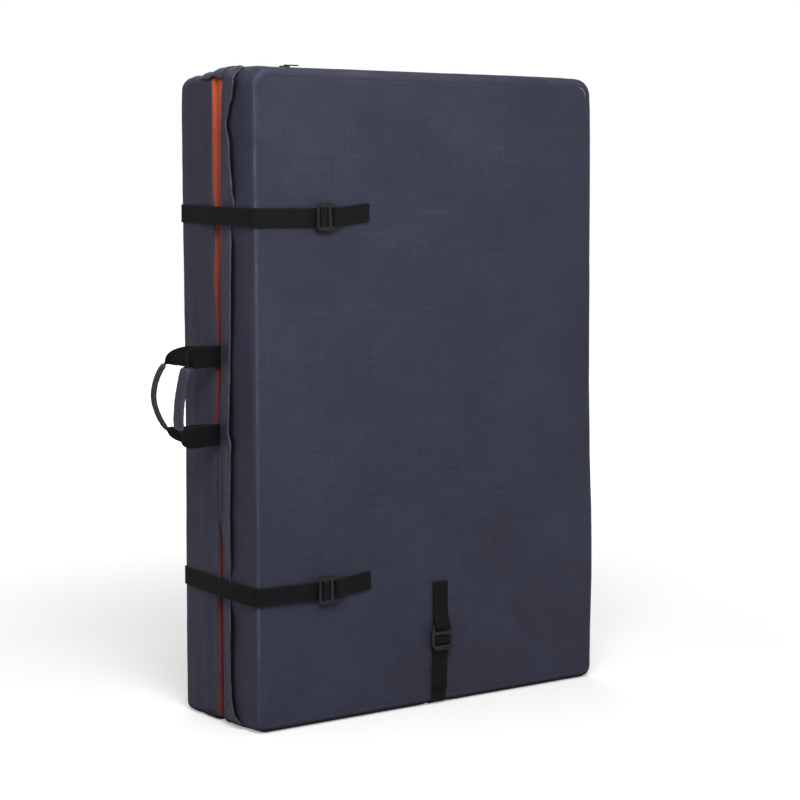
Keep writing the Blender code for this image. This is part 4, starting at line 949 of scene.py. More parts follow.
def closure_line(kind):
    """The strap's middle line from its end on the back, round the edge, through the buckle and back, as (in, depth)."""
    bottom = kind == "bottom"
    base = 0 if bottom else SIDE_BULGE
    run = GAP + WEB / 2 if bottom else -(SIDE_STAND_OFF + WEB / 2)
    start = BUCKLE_FROM_EDGE[kind]
    raised = WEB + LAYER_GAP
    anchor = base + EDGE_RADIUS + STRAP_ANCHOR

    def over(k, extra=0.0):
        return face_depth(k - base) + STRAP_W + extra

    def corner(extra, sign):
        centre_e, centre_d = base + EDGE_RADIUS, EDGE_DEPTH - EDGE_RADIUS
        out = EDGE_RADIUS + STRAP_W + extra
        across = centre_e - run + extra if bottom else out
        angles = [math.pi / 2 * k / 10 for k in range(11)]
        return [(centre_e - across * math.cos(a), sign * (centre_d + out * math.sin(a))) for a in angles]

    knots = [base + k for k in FACE_INSETS]
    line = [(anchor, over(anchor))] + [(k, over(k)) for k in reversed(knots) if k < anchor - WEB]
    line += reversed(corner(0, 1))
    if not bottom:
        line += [(run, STRAP_OFF_START), (run, -STRAP_OFF_END)]
    line += corner(0, -1) + [(k, -over(k)) for k in knots if k < start - WEB]
    line += [(start + u, -(strap_lift(kind) + w)) for u, w in thread([])]
    line += [(k, -over(k, raised)) for k in reversed(knots) if BOTTOM_TAIL_RISE * bottom < k < start - WEB]
    if bottom:
        return line + [(BOTTOM_TAIL_RISE, -over(BOTTOM_TAIL_RISE, raised))]
    line += reversed(corner(raised, -1))
    return line + [(run - raised, -STRAP_OFF_END), (run - raised, -(EDGE_DEPTH - EDGE_RADIUS - TAIL_INTO_BAND))]


def box_stitch(lay, u0, u1, half, w, cross=True):
    """Rows of a box with a cross in it, on a local frame."""
    paths = [((u0, -half), (u1, -half), (u1, half), (u0, half), (u0, -half))]
    if cross:
        paths += [((u0, -half), (u1, half)), ((u0, half), (u1, -half))]
    return [[(lay.at(u, v, w), lay.out) for u, v in path] for path in paths]


tab_rows = []
for kind, slant in (("upper", 0.0035), ("lower", -0.0035), ("bottom", 0.0)):
    lay, height, length = front_lay(kind), STRAP_HEIGHT[kind], TAB_LENGTH[kind]
    if kind == "bottom":
        rise, across = 0, X
        points = [place(BOTTOM_STRAP_X, d, e) for e, d in closure_line(kind)]
    else:
        rise, across = TAB_RISE, Z
        points = []
        for e, d in closure_line(kind):
            share = clamp((d + EDGE_DEPTH) / (2 * EDGE_DEPTH))
            points.append(place(OPEN_X + e, d, height + BACK_RISE * share))
    points = divided(rounded(rounded(points, LINE_TURN), 0.030, least=0.03), LINE_STEP)
    strap = web_band("web_strap_" + kind, points, across, skew=(0.0, slant), wave=0.0005)
    replace_between(strap, "strap_" + kind)
    points = [lay.at(u, rise * max(0, (u - END_AXIS) / length), w) for u, w in tab_line(length)]
    tab = web_band("web_tab_" + kind, divided(points, LINE_STEP), lay.across, seed=4.0)
    replace(tab, "front_half", "black_webbing", "tab_" + kind)
    tilted = Lay(lay.at(0, -rise * END_AXIS / length, 0), lay.along + lay.across * (rise / length), lay.across, lay.out)
    first, last = END_AXIS + length - 0.024, END_AXIS + length - 0.003
    tab_rows += box_stitch(tilted, first, last, WEB_WIDTH / 2 - 0.003, TAIL_W + WEB / 2)
    tab_rows += [[(tilted.at(first - 0.018, v, TAIL_W + WEB / 2), lay.out) for v in (-0.010, 0.010)]]
fine_stitches("tab_stitches", tab_rows, "front_half", size=0.0004)


# Flaps

# The flap's most lift off the band, its lowest place, and how much further its edge reaches for its lift
FLAP_LIFT, FLAP_FOOT, FLAP_LEAN = 0.0065, 0.006, 1.386
# How far the flap reaches over the band, as shares of it, by share of the height
FLAP_EDGE_SHARES = (
    (0.0, 0.77), (0.007, 0.62), (0.0145, 0.51), (0.022, 0.40), (0.045, 0.325), (0.10, 0.30), (0.19, 0.31), (0.29, 0.33),
    (0.41, 0.37), (0.434, 0.405), (0.453, 0.327), (0.488, 0.352), (0.55, 0.382), (0.61, 0.407), (0.70, 0.430),
    (0.755, 0.435), (0.797, 0.540), (0.816, 0.487), (0.855, 0.437), (0.886, 0.425), (0.916, 0.335), (0.934, 0.415),
    (0.957, 0.518), (0.978, 0.56), (1.0, 0.60),
)
# Turning the top corner, by degrees: how far past its last place on the side the flap's edge reaches
CORNER_EDGE = ((0, 0.0), (15, 0.002), (45, 0.007), (60, 0.010), (84, -0.030))
# By depth: at what angle the top flap ends on the same corner
TOP_FLAP_END = ((-0.022, 6.0), (-0.012, 9.0), (-0.002, 17.0), (0.008, 21.0), (0.019, 22.0), (0.035, 30.0))
HELD = WEB_WIDTH / 2 + 0.002
CORNER_TURN, CORNER_TUCK = 0.018, 0.017
CORNER_X, CORNER_Z = -BASE_HALF_WIDTH + CORNER_TURN, PAD_HEIGHT - 0.0195


def cloth(name, grid, thickness, finish, hem=0):
    """A sheet of even thickness on a grid of middle points, its free edge doubled as a hem."""
    rows, cols = len(grid), len(grid[0])
    verts, uvs, wear_and_highlight = [], [], []
    runs = [lengths_along(row) for row in grid]
    heights = lengths_along([row[cols // 2] for row in grid])
    for side in (1, -1):
        for i in range(rows):
            for j in range(cols):
                down = grid[min(i + 1, rows - 1)][j] - grid[max(i - 1, 0)][j]
                along = grid[i][min(j + 1, cols - 1)] - grid[i][max(j - 1, 0)]
                wall = thickness * (1.7 if hem and j >= cols - 1 - hem else 1.0)
                verts.append(grid[i][j] + down.cross(along).normalized() * (side * wall / 2))
                uvs.append((runs[i][j], heights[i]))
                wear_and_highlight.append(0.6 if j >= cols - 2 else 0.15)
    under = rows * cols
    faces = []
    for i in range(rows - 1):
        for j in range(cols - 1):
            quad = (i * cols + j, i * cols + j + 1, (i + 1) * cols + j + 1, (i + 1) * cols + j)
            faces += [quad, tuple(under + k for k in reversed(quad))]
    rim = list(range(cols)) + [i * cols + cols - 1 for i in range(1, rows)]
    rim += [(rows - 1) * cols + j for j in range(cols - 2, -1, -1)] + [i * cols for i in range(rows - 2, 0, -1)]
    for a, b in zip(rim, rim[1:] + rim[:1]):
        faces.append((a, under + a, under + b, b))
    return piece(name, verts, faces, finish, uvs, wear_and_highlight)


skin = front.covering.data
band_tree = bvhtree.BVHTree.FromPolygons([v.co.copy() for v in skin.vertices],
                                         [tuple(p.vertices) for p in skin.polygons])


def off_band(depth, z, off):
    """Place across of a sheet this far off the front half's band on the open side, round its bottom corner too."""
    hit = band_tree.ray_cast(place(OPEN_X - 0.05, -depth, z), X, 0.12)[0]
    radius = front.corner_at(depth)
    rise = clamp(radius - z, 0, radius * 0.96) / radius
    lean = math.sqrt(1 - rise * rise)
    corner = -BASE_HALF_WIDTH + radius * (1 - lean)
    return min(hit.x - PAD_X if hit else -BASE_HALF_WIDTH, corner) - off / max(lean, 0.5)


def round_corner(turn, depth, off):
    """A point this far off the front half's top corner, turned from the side, 0, towards the top."""
    aim = Vector((-math.cos(turn), 0, math.sin(turn)))
    middle = place(CORNER_X, -depth, CORNER_Z)
    hit = band_tree.ray_cast(middle + aim * 0.06, -aim, 0.06)[0]
    reach = (hit - middle).length if hit else CORNER_TURN
    return middle + aim * (reach + off)


def free_of_straps(z):
    return min(smooth((abs(z - s) - HELD) / 0.025) for s in FAR_STRAPS)


def flap_reach(z):
    """Depth of the flap's free edge, and how far it stands off the band there."""
    wave = 0.5 + 0.5 * ripple(z * 11, 5, 1) + 0.45 * ripple(z * 29, 3, 2)
    lift = FLAP_LIFT * free_of_straps(z) * (0.62 + 0.5 * wave) * smooth((z - 0.001) / 0.02)
    reach = curve(FLAP_EDGE_SHARES, z / PAD_HEIGHT) * (EDGE_DEPTH - BAND_START) + 0.0010 * ripple(z * 34, 2, 0)
    return FOLD_GAP / 2 + reach + FLAP_LEAN * lift, lift


def flap_side():
    """The closure flap: sewn on by the front half's mouth seam and loose along its free edge."""
    off = GAP + FABRIC / 2
    rows, turns, steps, corner_rows = 300, 8, 18, 15
    grid = []
    for r in range(rows + 1):
        z = FLAP_FOOT + (CORNER_Z - FLAP_FOOT) * r / rows
        sewn = curve(FLAP_SEWN, z) + 0.0003 * ripple(z * 60, 1, 6)
        turned = min(sewn - 0.002, 0.0)
        bulge = 0.0042 * smooth((sewn + 0.001) / 0.010) * (1 + 0.2 * ripple(z * 30, 2, 2))
        bulge *= 1 - near_handles(z, 0.030)
        depth_end, lift_end = flap_reach(z)
        row = []
        for k in range(turns + 1):
            along = sewn + (turned - sewn) * k / turns
            if along < SEAM_FLAT:
                row.append((off_band(BAND_START - along, z, off), BAND_START - along))
            else:
                a = (along - SEAM_FLAT) / MOUTH_RADIUS
                x = -BASE_HALF_WIDTH + MOUTH_RADIUS - (MOUTH_RADIUS + off + bulge * 0.4) * math.cos(a)
                row.append((x, FOLD_GAP / 2 + MOUTH_RADIUS - (MOUTH_RADIUS + off + bulge) * math.sin(a)))
        start = BAND_START - turned
        for k in range(1, steps + 1):
            part = k / steps
            depth = start + (depth_end - start) * part
            belly = 0.0009 * math.sin(math.pi * part) * (ripple(z * 16, part * 2, 8) + 0.3) * free_of_straps(z)
            row.append((off_band(depth, z, off) - max(lift_end * part ** 1.5 + belly, 0), depth))
        grid.append([place(x, -d, z) for x, d in row])
    # round the top corner, under the top flap
    for k in range(1, corner_rows + 1):
        turn = math.radians(5.6 * k)
        first = start - CORNER_TUCK * smooth(k / 4)
        last = depth_end + curve(CORNER_EDGE, math.degrees(turn)) - FLAP_LEAN * lift_end * smooth(k / 9)
        row = []
        for j in range(turns + steps + 1):
            part = max(j - turns, 0) / steps
            depth = first + (last - first) * part - 0.002 * (1 - min(j / turns, 1))
            lift = lift_end * part ** 1.5 * (1 - 0.95 * smooth(k / 8))
            lift += 0.0004 * (1 + ripple(k * 0.7, part * 5, 4)) * part
            row.append(round_corner(turn, depth, off + lift))
        grid.append(row)
    return grid


HEM = 4
grid = flap_side()
side_flap = cloth("closure_flap_side", grid, FABRIC, SLATE, hem=HEM)
# painted shade along the flap's foot, where it meets the floor
paint(side_flap.data, "painted_shade", [1 - smooth((v.co.z - 0.0056) / 0.0036) for v in side_flap.data.vertices])
replace(side_flap, "front_half", "slate_fabric", "flap_side")
row = []
for i, edge in enumerate(grid):
    inner = edge[-1 - HEM]
    down = grid[min(i + 1, len(grid) - 1)][-1 - HEM] - grid[max(i - 1, 0)][-1 - HEM]
    out = down.cross(edge[-1] - inner).normalized()
    out = out if out.dot(inner - place(-0.2, -0.03, min(0.8, inner.z))) > 0 else -out
    row.append((inner.lerp(edge[-HEM], 0.5) + out * (FABRIC * 0.9), out))
stitches("flap_stitches", [row], THREAD, "front_half")


def painted_shade_tape():
    """A black tape on the band under the flap's free edge: painted shade where the flap shades the band."""
    rows, cols, foot, past, wide = 260, 8, 0.014, 0.0018, 0.017
    grid = []
    for r in range(rows + 1):
        z = foot + (CORNER_Z - foot) * r / rows
        depths = [flap_reach(z)[0] + past - wide * (1 - k / cols) for k in range(cols + 1)]
        grid.append([place(off_band(depth, z, 0.00026), -depth, z) for depth in depths])
    tape = cloth("painted_shade_tape", grid, 0.0003, BLACK_CLOTH)
    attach(tape, "front_half")


painted_shade_tape()


def flap_top():
    """The top flap: sewn on the front half, over the fold and down a little at the open end."""
    over = PAD_HEIGHT + GAP + FABRIC / 2
    low = BACK_TOP + GAP + FABRIC
    back_reach, front_reach, end = 0.035, 0.022, 0.020
    columns, corner_rows = 120, 14
    knots = [(-front_reach, over), (-FOLD_GAP, over), (0, over), (FOLD_GAP, over - 0.00075),
             (back_reach / 2, low + 0.00075), (back_reach, low)]
    fine = spline([Vector((d, 0, z)) for d, z in knots], 4)
    parts = [(j / (len(fine) - 1), spot) for j, spot in enumerate(fine)]
    grid = []
    for k in range(columns):
        x = PAD_WIDTH / 2 - end - (PAD_WIDTH - 2 * end + 0.001) * k / columns
        row = []
        for part, spot in parts:
            lift = 0.0012 * (1 + ripple(x * 18, part * 3, 6)) * part * bell(part - 0.75, 0.4)
            row.append(place(x, spot.x, spot.z + lift))
        grid.append(row)
    for k in range(corner_rows + 1):
        share = k / corner_rows
        row = []
        for part, spot in parts:
            turn = math.radians(90 + (curve(TOP_FLAP_END, spot.x) - 90) * share)
            crease = 0.0009 * (1 + ripple(k * 0.45, part * 6, 3)) * math.sin(math.pi / 2 * share) * (0.4 + part)
            crease += 0.0010 * (1 - smooth(part / 0.35))
            x = CORNER_X - (CORNER_TURN + GAP + FABRIC / 2 + 0.0008 + crease) * math.cos(turn)
            row.append(place(x, spot.x, spot.z - CORNER_TURN + (CORNER_TURN + crease) * math.sin(turn)))
        grid.append(row)
    return grid


top_flap = cloth("closure_flap_top", flap_top(), FABRIC, SLATE, hem=3)
replace(top_flap, "front_half", "slate_fabric", "flap_top")


def hinge():
    """The fabric hinge over the fold on the closed side."""
    rows, cols, end, reach = 140, 24, 0.020, 0.020
    grid = []
    for k in range(rows + 1):
        z = end + (BACK_TOP - 2 * end) * k / rows
        row = []
        for j in range(cols + 1):
            depth = -reach + 2 * reach * j / cols
            swell = SIDE_BULGE * math.sin(math.pi * clamp((abs(depth) - BAND_START) / (BAND_END - BAND_START)))
            dip = 0.0011 * bell(depth, 0.006) * (0.8 + 0.5 * ripple(z * 9, 0, 3))
            slack = 0.0005 * (1 + ripple(z * 12, depth * 40, 9)) * bell(depth, 0.014)
            row.append(place(BASE_HALF_WIDTH + GAP + 0.0007 + swell - dip + slack, depth, z))
        grid.append(row)
    return grid


hinge_piece = cloth("hinge_cloth", hinge(), 0.0013, SLATE)
replace_between(hinge_piece, "hinge_strip")
for word, sign in (("back", 1), ("front", -1)):
    heights = [0.022 + (BACK_TOP - 0.044) * k / 140 for k in range(141)]
    row = [(place(BASE_HALF_WIDTH + 0.0019, sign * 0.0172, z), X) for z in heights]
    stitches("hinge_stitches_" + word, [row], THREAD, word + "_half")


# Handles

HANDLE_WEB_WIDTH, HANDLE_GRIP = 0.029, 0.0032
HANDLE_ENDS = (("top", HANDLE_TOP), ("low", HANDLE_LOW))
# Points of each handle, in millimetres from its root: out, up, how far it is turned into the grip, and its width
BACK_HANDLE = (
    (0, 57, 0, 29), (3, 57, 0, 29), (25, 57, 0, 29), (42, 57, 0, 28), (55, 56, 0.05, 23), (65, 52.5, 0.4, 18),
    (72, 46, 0.86, 15), (78, 37, 1, 15), (84, 22, 1, 15), (86.5, 7, 1, 15), (86, -5, 1, 15), (82, -19, 1, 15),
    (76, -32, 1, 15), (70, -40.5, 0.86, 15), (61, -46, 0.35, 16), (48, -49.5, 0.05, 22), (34, -50.5, 0, 28),
    (20, -50.5, 0, 29), (3, -50.5, 0, 29), (0, -50.5, 0, 29),
)
FRONT_HANDLE = (
    (0, 57, 0, 29), (3, 57, 0, 29), (25, 57, 0, 29), (44, 57, 0, 29), (53, 55, 0.12, 28), (59, 49, 0.55, 25),
    (63, 42, 0.9, 22), (67, 30, 1, 21), (71, 16, 1, 21), (74, 3, 1, 21), (76, -11, 1, 21), (77, -25, 1, 21),
    (75.5, -35, 0.9, 21), (71, -42, 0.55, 24), (64, -47, 0.15, 27), (54, -50, 0, 29), (40, -50.5, 0, 29),
    (20, -50.5, 0, 29), (3, -50.5, 0, 29), (0, -50.5, 0, 29),
)


def handle(word, lean, sign, path, roll, sleeve_node, sleeve_finish, sleeve_slot, seed):
    """A carry handle: flat arms folded into a grip with its sleeve."""
    out = Vector((-math.cos(lean), math.sin(lean), 0))
    flat = Vector((math.sin(lean), math.cos(lean), 0))
    root = place(-BASE_HALF_WIDTH, sign * (WEB / 2 + GAP), HANDLE_Z)
    fine = spline([Vector((r / 1000, z / 1000, turn, wide / 1000)) for r, z, turn, wide in path], 5)
    points = [root + out * p[0] + Z * p[1] for p in fine]
    across, lifts, thicks = [], [], []
    for i, p in enumerate(fine):
        along = (points[min(i + 1, len(points) - 1)] - points[max(i - 1, 0)]).normalized()
        turn = clamp(p[2])
        angle = math.pi / 2 * smooth(turn)
        turned = (flat * math.cos(roll) + out * math.sin(roll)).normalized()
        across.append((along.cross(flat) * math.cos(angle) + turned * math.sin(angle)).normalized())
        lifts.append(along.cross(across[-1]).normalized())
        thicks.append(WEB + (HANDLE_GRIP - WEB) * turn)
    thicks[0] = thicks[-1] = 0.0009
    web = band("handle_%s_loop" % word, points, across, [p[3] for p in fine], thicks, BLACK_WEB, seed=seed)
    replace(web, "handle_" + word, "black_webbing", "handle_%s_web" % word)
    rings, uvs, wear_and_highlight = [], [], []
    chosen = [i for i, p in enumerate(fine) if p[2] > 0.84]
    count, skin = 28, 0.0013
    for order, thick in ((chosen, skin), (chosen[::-1], 0.0)):
        for i in order:
            share = (i - chosen[0]) / (len(chosen) - 1)
            for k in range(count):
                a = 2 * math.pi * k / count
                c, s = math.cos(a), math.sin(a)
                wall = GAP + thick
                if thick:
                    edge = smooth(min(share, 1 - share) / 0.05)
                    wall += 0.00045 * ripple(share * 26, c * 1.5, s * 1.5, seed) * edge - 0.0004 * (1 - edge)
                x = math.copysign(abs(c) ** 0.45, c) * (fine[i][3] / 2 + wall)
                y = math.copysign(abs(s) ** 0.6, s) * (HANDLE_GRIP / 2 + wall)
                rings.append(points[i] + across[i] * x + lifts[i] * y)
                uvs.append((a * 0.006, fine[i][1]))
                wear_and_highlight.append(0.5 * bell(min(share, 1 - share), 0.06) + 0.2)
    rows = len(chosen) * 2
    faces = tube_faces(rows, count, caps=False)
    last = (rows - 1) * count
    faces += [(last + k, last + (k + 1) % count, (k + 1) % count, k) for k in range(count)]
    sleeve = piece("grip_sleeve_" + word, rings, faces, sleeve_finish, uvs, wear_and_highlight)
    replace(sleeve, "handle_" + word, sleeve_slot, sleeve_node)
    seams = []
    for end, up in HANDLE_ENDS:
        line = [root + Z * up + X * u for u in (0.0009, 0.003, 0.0055)]
        stub = band("handle_%s_end_%s" % (word, end), line, Z, HANDLE_WEB_WIDTH, WEB, BLACK_WEB)
        replace(stub, word + "_half", "black_webbing", "handle_%s_seam_%s" % (word, end))
        for face in (1, -1):
            lay = Lay(root + Z * up, out, Z, flat * face)
            seams += box_stitch(lay, 0.008, 0.024, 0.0105, WEB / 2 + 0.0001)
    fine_stitches("handle_%s_stitches" % word, seams, "handle_" + word)


BACK_LEAN, FRONT_LEAN = math.pi / 2 * 0.331, -math.pi / 2 * 0.1655
handle("back", BACK_LEAN, 1, BACK_HANDLE, 0.16, "handle_back_grip", GREY_WEB, "grey_webbing", 2.0)
handle("front", FRONT_LEAN, -1, FRONT_HANDLE, -0.32, "handle_front_sleeve", SLATE, "slate_fabric", 5.0)


# Zips

ZIP_DEPTH = {"back": 0.052, "front": -0.038}


def zip_set(half):
    """A shut zip on the top edge: its tape with a ridge of teeth, and its stitching."""
    length, wide, rows, chain = 0.440, 0.013, 550, 0.2
    z, depth = half.top + GAP, ZIP_DEPTH[half.word]
    columns = (-1.0, -0.97, -0.6, -0.25, -0.19, -0.12, -0.05, 0.0, 0.05, 0.12, 0.19, 0.25, 0.6, 0.97, 1.0)
    verts, uvs, wear_and_highlight = [], [], []
    for i in range(rows + 1):
        x = -length / 2 + length * i / rows
        for v in columns:
            high = 0.0002 if abs(v) > 0.98 else 0.0008
            if abs(v) < chain:
                tooth = 0.5 + 0.5 * math.cos(math.pi * (i + (0 if v < 0 else 1)))
                high += 0.0013 * math.cos(v / chain * math.pi / 2) ** 0.6 * (0.55 + 0.45 * tooth)
            verts.append(place(x, depth + v * wide, z + high + 0.0002 * ripple(x * 25, v, half.side)))
            uvs.append((v * wide, x))
            wear_and_highlight.append(0.4 if abs(v) > 0.9 else 0.1)
    obj = piece("zip_cloth_" + half.word, verts, tube_faces(rows + 1, len(columns), wrap=False), TAPE, uvs, wear_and_highlight)
    replace(obj, half.body, "black_webbing", "zip_tape_" + half.word)
    ends, reach = (-1, 1), length / 2 - 0.004
    seams = [[(place(s * length / 2, depth + v * wide * 0.78, z + 0.0009), Z) for s in ends] for v in ends]
    seams += [[(place(s * reach, depth + v * wide * 0.9, z + 0.0011), Z) for v in ends] for s in ends]
    stitches("zip_stitches_" + half.word, seams, DARK_THREAD, half.body, pitch=0.003, size=0.0003)


zip_set(back)
zip_set(front)


# Harness on the back

BACK_PLANE = face_depth(BASE_HALF_WIDTH)
YOKE_TOP, YOKE_BOTTOM, YOKE_HALF_WIDTH, YOKE = 0.790, 0.738, 0.100, 0.0020
PAD_TOP_X, PAD_END_X, PAD_END_Z, PAD_BOW = 0.050, 0.108, 0.430, 0.030
SHOULDER_HALF_WIDTH, SHOULDER_THICKNESS, SHOULDER_THIN = 0.031, 0.011, 0.0022
SHOULDER_CHANNELS = (0.24, 0.42, 0.60, 0.78)
LOWER_ANCHOR_X, LOWER_ANCHOR_Z, SHOULDER_TAB, LOWER_TAIL = 0.150, 0.222, 0.030, 0.075


def yoke():
    """The hemmed patch that the shoulder straps are sewn to."""
    rows, cols = 26, 90
    half, tall, middle = YOKE_HALF_WIDTH, (YOKE_TOP - YOKE_BOTTOM) / 2, (YOKE_TOP + YOKE_BOTTOM) / 2
    grid = []
    for i in range(rows + 1):
        row = []
        for j in range(cols + 1):
            x, z = -half + 2 * half * j / cols, -tall + 2 * tall * i / rows
            inset = min(half - abs(x), tall - abs(z))
            hem = 0.0005 * smooth(inset / 0.0012) * (1 - smooth((inset - 0.007) / 0.002))
            puff = 0.0006 * smooth((inset - 0.008) / 0.012) * (1 + 0.8 * ripple(x * 30, z * 30, 4))
            row.append(place(x, BACK_PLANE + GAP + YOKE / 2 + hem + puff, middle + z))
        grid.append(row)
    replace(cloth("yoke_cloth", grid, YOKE * 0.8, BLACK_CLOTH), "back_half", "black_webbing", "yoke_patch")
    lay = Lay(place(0, BACK_PLANE + GAP + YOKE, middle), X, Z, Y)
    seams = []
    for inset in (0.004, 0.0075):
        seams += box_stitch(lay, -half + inset, half - inset, tall - inset, 0.0005, cross=False)
    for x in (-PAD_TOP_X, PAD_TOP_X):
        seams += box_stitch(lay, x - 0.012, x + 0.012, tall - 0.010, 0.0009)
    stitches("yoke_stitches", seams, DARK_THREAD, "back_half", size=0.00035)


yoke()


def settle_cloth(obj, cap, pressure, pinned):
    """Lets the air in the piece press its skin out, and keeps each point within cap of its start."""
    start = [v.co.copy() for v in obj.data.vertices]
    group = obj.vertex_groups.new(name="seam")
    group.add(list(pinned), 1.0, "REPLACE")
    sim = obj.modifiers.new("air", "CLOTH")
    values = {
        "quality": 6, "mass": 0.15, "tension_stiffness": 30, "compression_stiffness": 30, "shear_stiffness": 12,
        "bending_stiffness": 0.6, "use_pressure": True, "uniform_pressure_force": pressure,
        "vertex_group_mass": group.name, "pin_stiffness": 1.0,
    }
    for key, value in values.items():
        setattr(sim.settings, key, value)
    sim.settings.effector_weights.gravity = 0
    sim.collision_settings.use_self_collision = False
    scene = bpy.context.scene
    for k in range(1, 21):
        scene.frame_set(k)
    graph = bpy.context.evaluated_depsgraph_get()
    made = obj.evaluated_get(graph).to_mesh()
    ends = [v.co.copy() for v in made.vertices]
    obj.evaluated_get(graph).to_mesh_clear()
    obj.modifiers.remove(sim)
    scene.frame_set(1)
    for vertex, a, b in zip(obj.data.vertices, start, ends):
        move = b - a
        vertex.co = a + move * min(1.0, cap / max(move.length, 1e-9))
    obj.data.update()


def cushion_section(count):
    """A shoulder strap's skin as (across, out, how far a quilted channel pulls it in), the face before the back."""
    section = []
    for j in range(count):
        v = -1 + 2 * j / (count - 1)
        puff = max(0.0, 1 - abs(v) ** 3.2)
        section.append((v, 0.40, 0.0) if abs(v) == 1 else (v, 0.42 + 0.58 * puff ** 0.6, puff))
    for j in range(1, count - 1):
        v = 1 - 2 * j / (count - 1)
        section.append((v, 0.36 - 0.34 * max(0.0, 1 - abs(v) ** 3.2) ** 0.4, 0.0))
    return section


def shoulder(word, sign):
    """A foam-filled shoulder strap, bound along its edges and quilted across, with its tab and lower web."""
    top = place(sign * PAD_TOP_X, BACK_PLANE, YOKE_BOTTOM - GAP)
    end = place(sign * PAD_END_X, BACK_PLANE, PAD_END_Z)
    anchor = place(sign * LOWER_ANCHOR_X, BACK_PLANE, LOWER_ANCHOR_Z)
    aim = (end - anchor).normalized()
    body = "shoulder_" + word

    def middle(s):
        return top.lerp(end, s) + X * (sign * PAD_BOW * math.sin(math.pi * s) * (1 - s / 2))

    steps, section = 84, cushion_section(17)
    ring = len(section)
    runs = lengths_along([middle(k / steps) for k in range(steps + 1)])
    verts, uvs, wear_and_highlight, pinned, edges = [], [], [], [], ([], [])
    for k, run in enumerate(runs):
        s = k / steps
        heading = (middle(max(s - 0.04, 0)) - middle(min(s + 0.04, 1))).normalized()
        heading = Z.lerp(heading, smooth(s / 0.12)).normalized()
        heading = heading.lerp(aim, smooth((s - 0.86) / 0.14)).normalized()
        side = Y.cross(heading).normalized()
        ease = math.sin(math.pi / 2 * min(1, s / 0.2 + 0.02, (1 - s) / 0.17 + 0.02))
        thick = SHOULDER_THIN + (SHOULDER_THICKNESS - 0.0014 - SHOULDER_THIN) * ease
        wide = WEB_WIDTH / 2 + (SHOULDER_HALF_WIDTH - WEB_WIDTH / 2) * ease - 0.0016
        channel = max(bell(s - c, 0.012) for c in SHOULDER_CHANNELS)
        for v, w, puff in section:
            spot = middle(s) + side * (wide * v) + Y * (GAP + thick * (w - 0.30 * channel * puff))
            if abs(v) == 1:
                pinned.append(len(verts))
                edges[0 if v < 0 else 1].append((spot, side * v))
            verts.append(spot)
            uvs.append((v * wide, run))
            wear_and_highlight.append(0.5 * bell(1 - abs(v), 0.15) + 0.1)
    pinned += list(range(ring)) + list(range(len(verts) - ring, len(verts)))
    obj = piece("shoulder_cushion_" + word, verts, tube_faces(steps + 1, ring), SLATE, uvs, wear_and_highlight)
    settle_cloth(obj, cap=0.0012, pressure=3.0, pinned=pinned)
    lowest = FOLD + BACK_PLANE + GAP
    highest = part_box("shoulder_pad_" + word)[1].y + 0.0015
    for vertex in obj.data.vertices:
        vertex.co.y = clamp(vertex.co.y, lowest, highest)
    replace(obj, body, "slate_fabric", "shoulder_pad_" + word)
    for edge, name in zip(edges, ("inner", "outer")):
        rings, uvs = [], []
        for (spot, out), run in zip(edge, lengths_along([spot for spot, _ in edge])):
            for k in range(10):
                a = 2 * math.pi * k / 10
                rings.append(spot + out * (0.0019 * math.cos(a) - 0.0002) + Y * (0.00135 * math.sin(a)))
                uvs.append((a * 0.002, run))
        faces = tube_faces(len(edge), 10)
        tape = piece("shoulder_binding_%s_%s" % (word, name), rings, faces, BLACK_WEB, uvs, [0.35] * len(rings))
        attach(tape, body)
    lay = Lay(end - aim * (SHOULDER_TAB + END_AXIS + GAP), aim, Y.cross(aim).normalized(), Y)
    tab = web_band("shoulder_web_" + word, divided(lay.line(tab_line(SHOULDER_TAB)), LINE_STEP), lay.across)
    replace(tab, body, "black_webbing", "shoulder_tab_" + word)
    start = (anchor - lay.origin).dot(lay.along)
    points = lay.line([(start, STRAP_W)] + thread([-LOWER_TAIL]))
    points = divided(rounded(points, LINE_TURN), LINE_STEP)
    web = web_band("lower_strap_" + word, points, lay.across, skew=(0.0, 0.003))
    replace_between(web, "lower_web_" + word)
    rows = box_stitch(lay, start + 0.003, start + 0.021, 0.0095, STRAP_W + WEB / 2)
    fine_stitches("lower_stitches_" + word, rows, "back_half")


shoulder("left", -1)
shoulder("right", 1)

BELT_Z, BELT_WIDTH, BELT_END, BELT_TAIL, BELT_FOLD = 0.135, 0.038, 0.262, 0.085, 0.045
PLUG_LENGTH, PLUG_TRAVEL, SOCKET_LENGTH = 0.032, 0.034, 0.050


def web_on_back(name, lay, line, node, seed, drawn=None):
    """A belt web on the back; given drawn, two places along it, it is baked in place, not attached, and the places go
    unused.
    """
    far = line[0][0]
    origin_x = lay.origin.x - PAD_X
    low = face_depth(BASE_HALF_WIDTH - BELT_END) - BACK_PLANE
    knots = []
    for inset in reversed(FACE_INSETS):
        x = BASE_HALF_WIDTH - inset
        u = (origin_x - x) if origin_x > 0 and far < 0 else (x + origin_x)
        if min(far, line[1][0]) < u < max(far, line[1][0]):
            knots.append((u, STRAP_W + (face_depth(inset) - BACK_PLANE)))
    knots.sort(key=lambda spot: abs(spot[0] - far))
    points = divided(rounded(lay.line([(far, STRAP_W + low)] + knots + line[1:]), LINE_TURN), 0.007)
    web = band(name, points, lay.across, BELT_WIDTH, WEB, BLACK_WEB, seed=seed)
    if drawn:
        start, end = (lay.at(u, 0, 0) for u in drawn)
        replace_between(web, node)
    else:
        replace(web, "back_half", "black_webbing", node)
    inner, outer = (far + 0.004, far + 0.03) if far < 0 else (far - 0.03, far - 0.004)
    rows = box_stitch(lay, inner, outer, 0.0155, STRAP_W + low + WEB / 2 + 0.0004)
    fine_stitches(name + "_stitches", rows, "back_half")


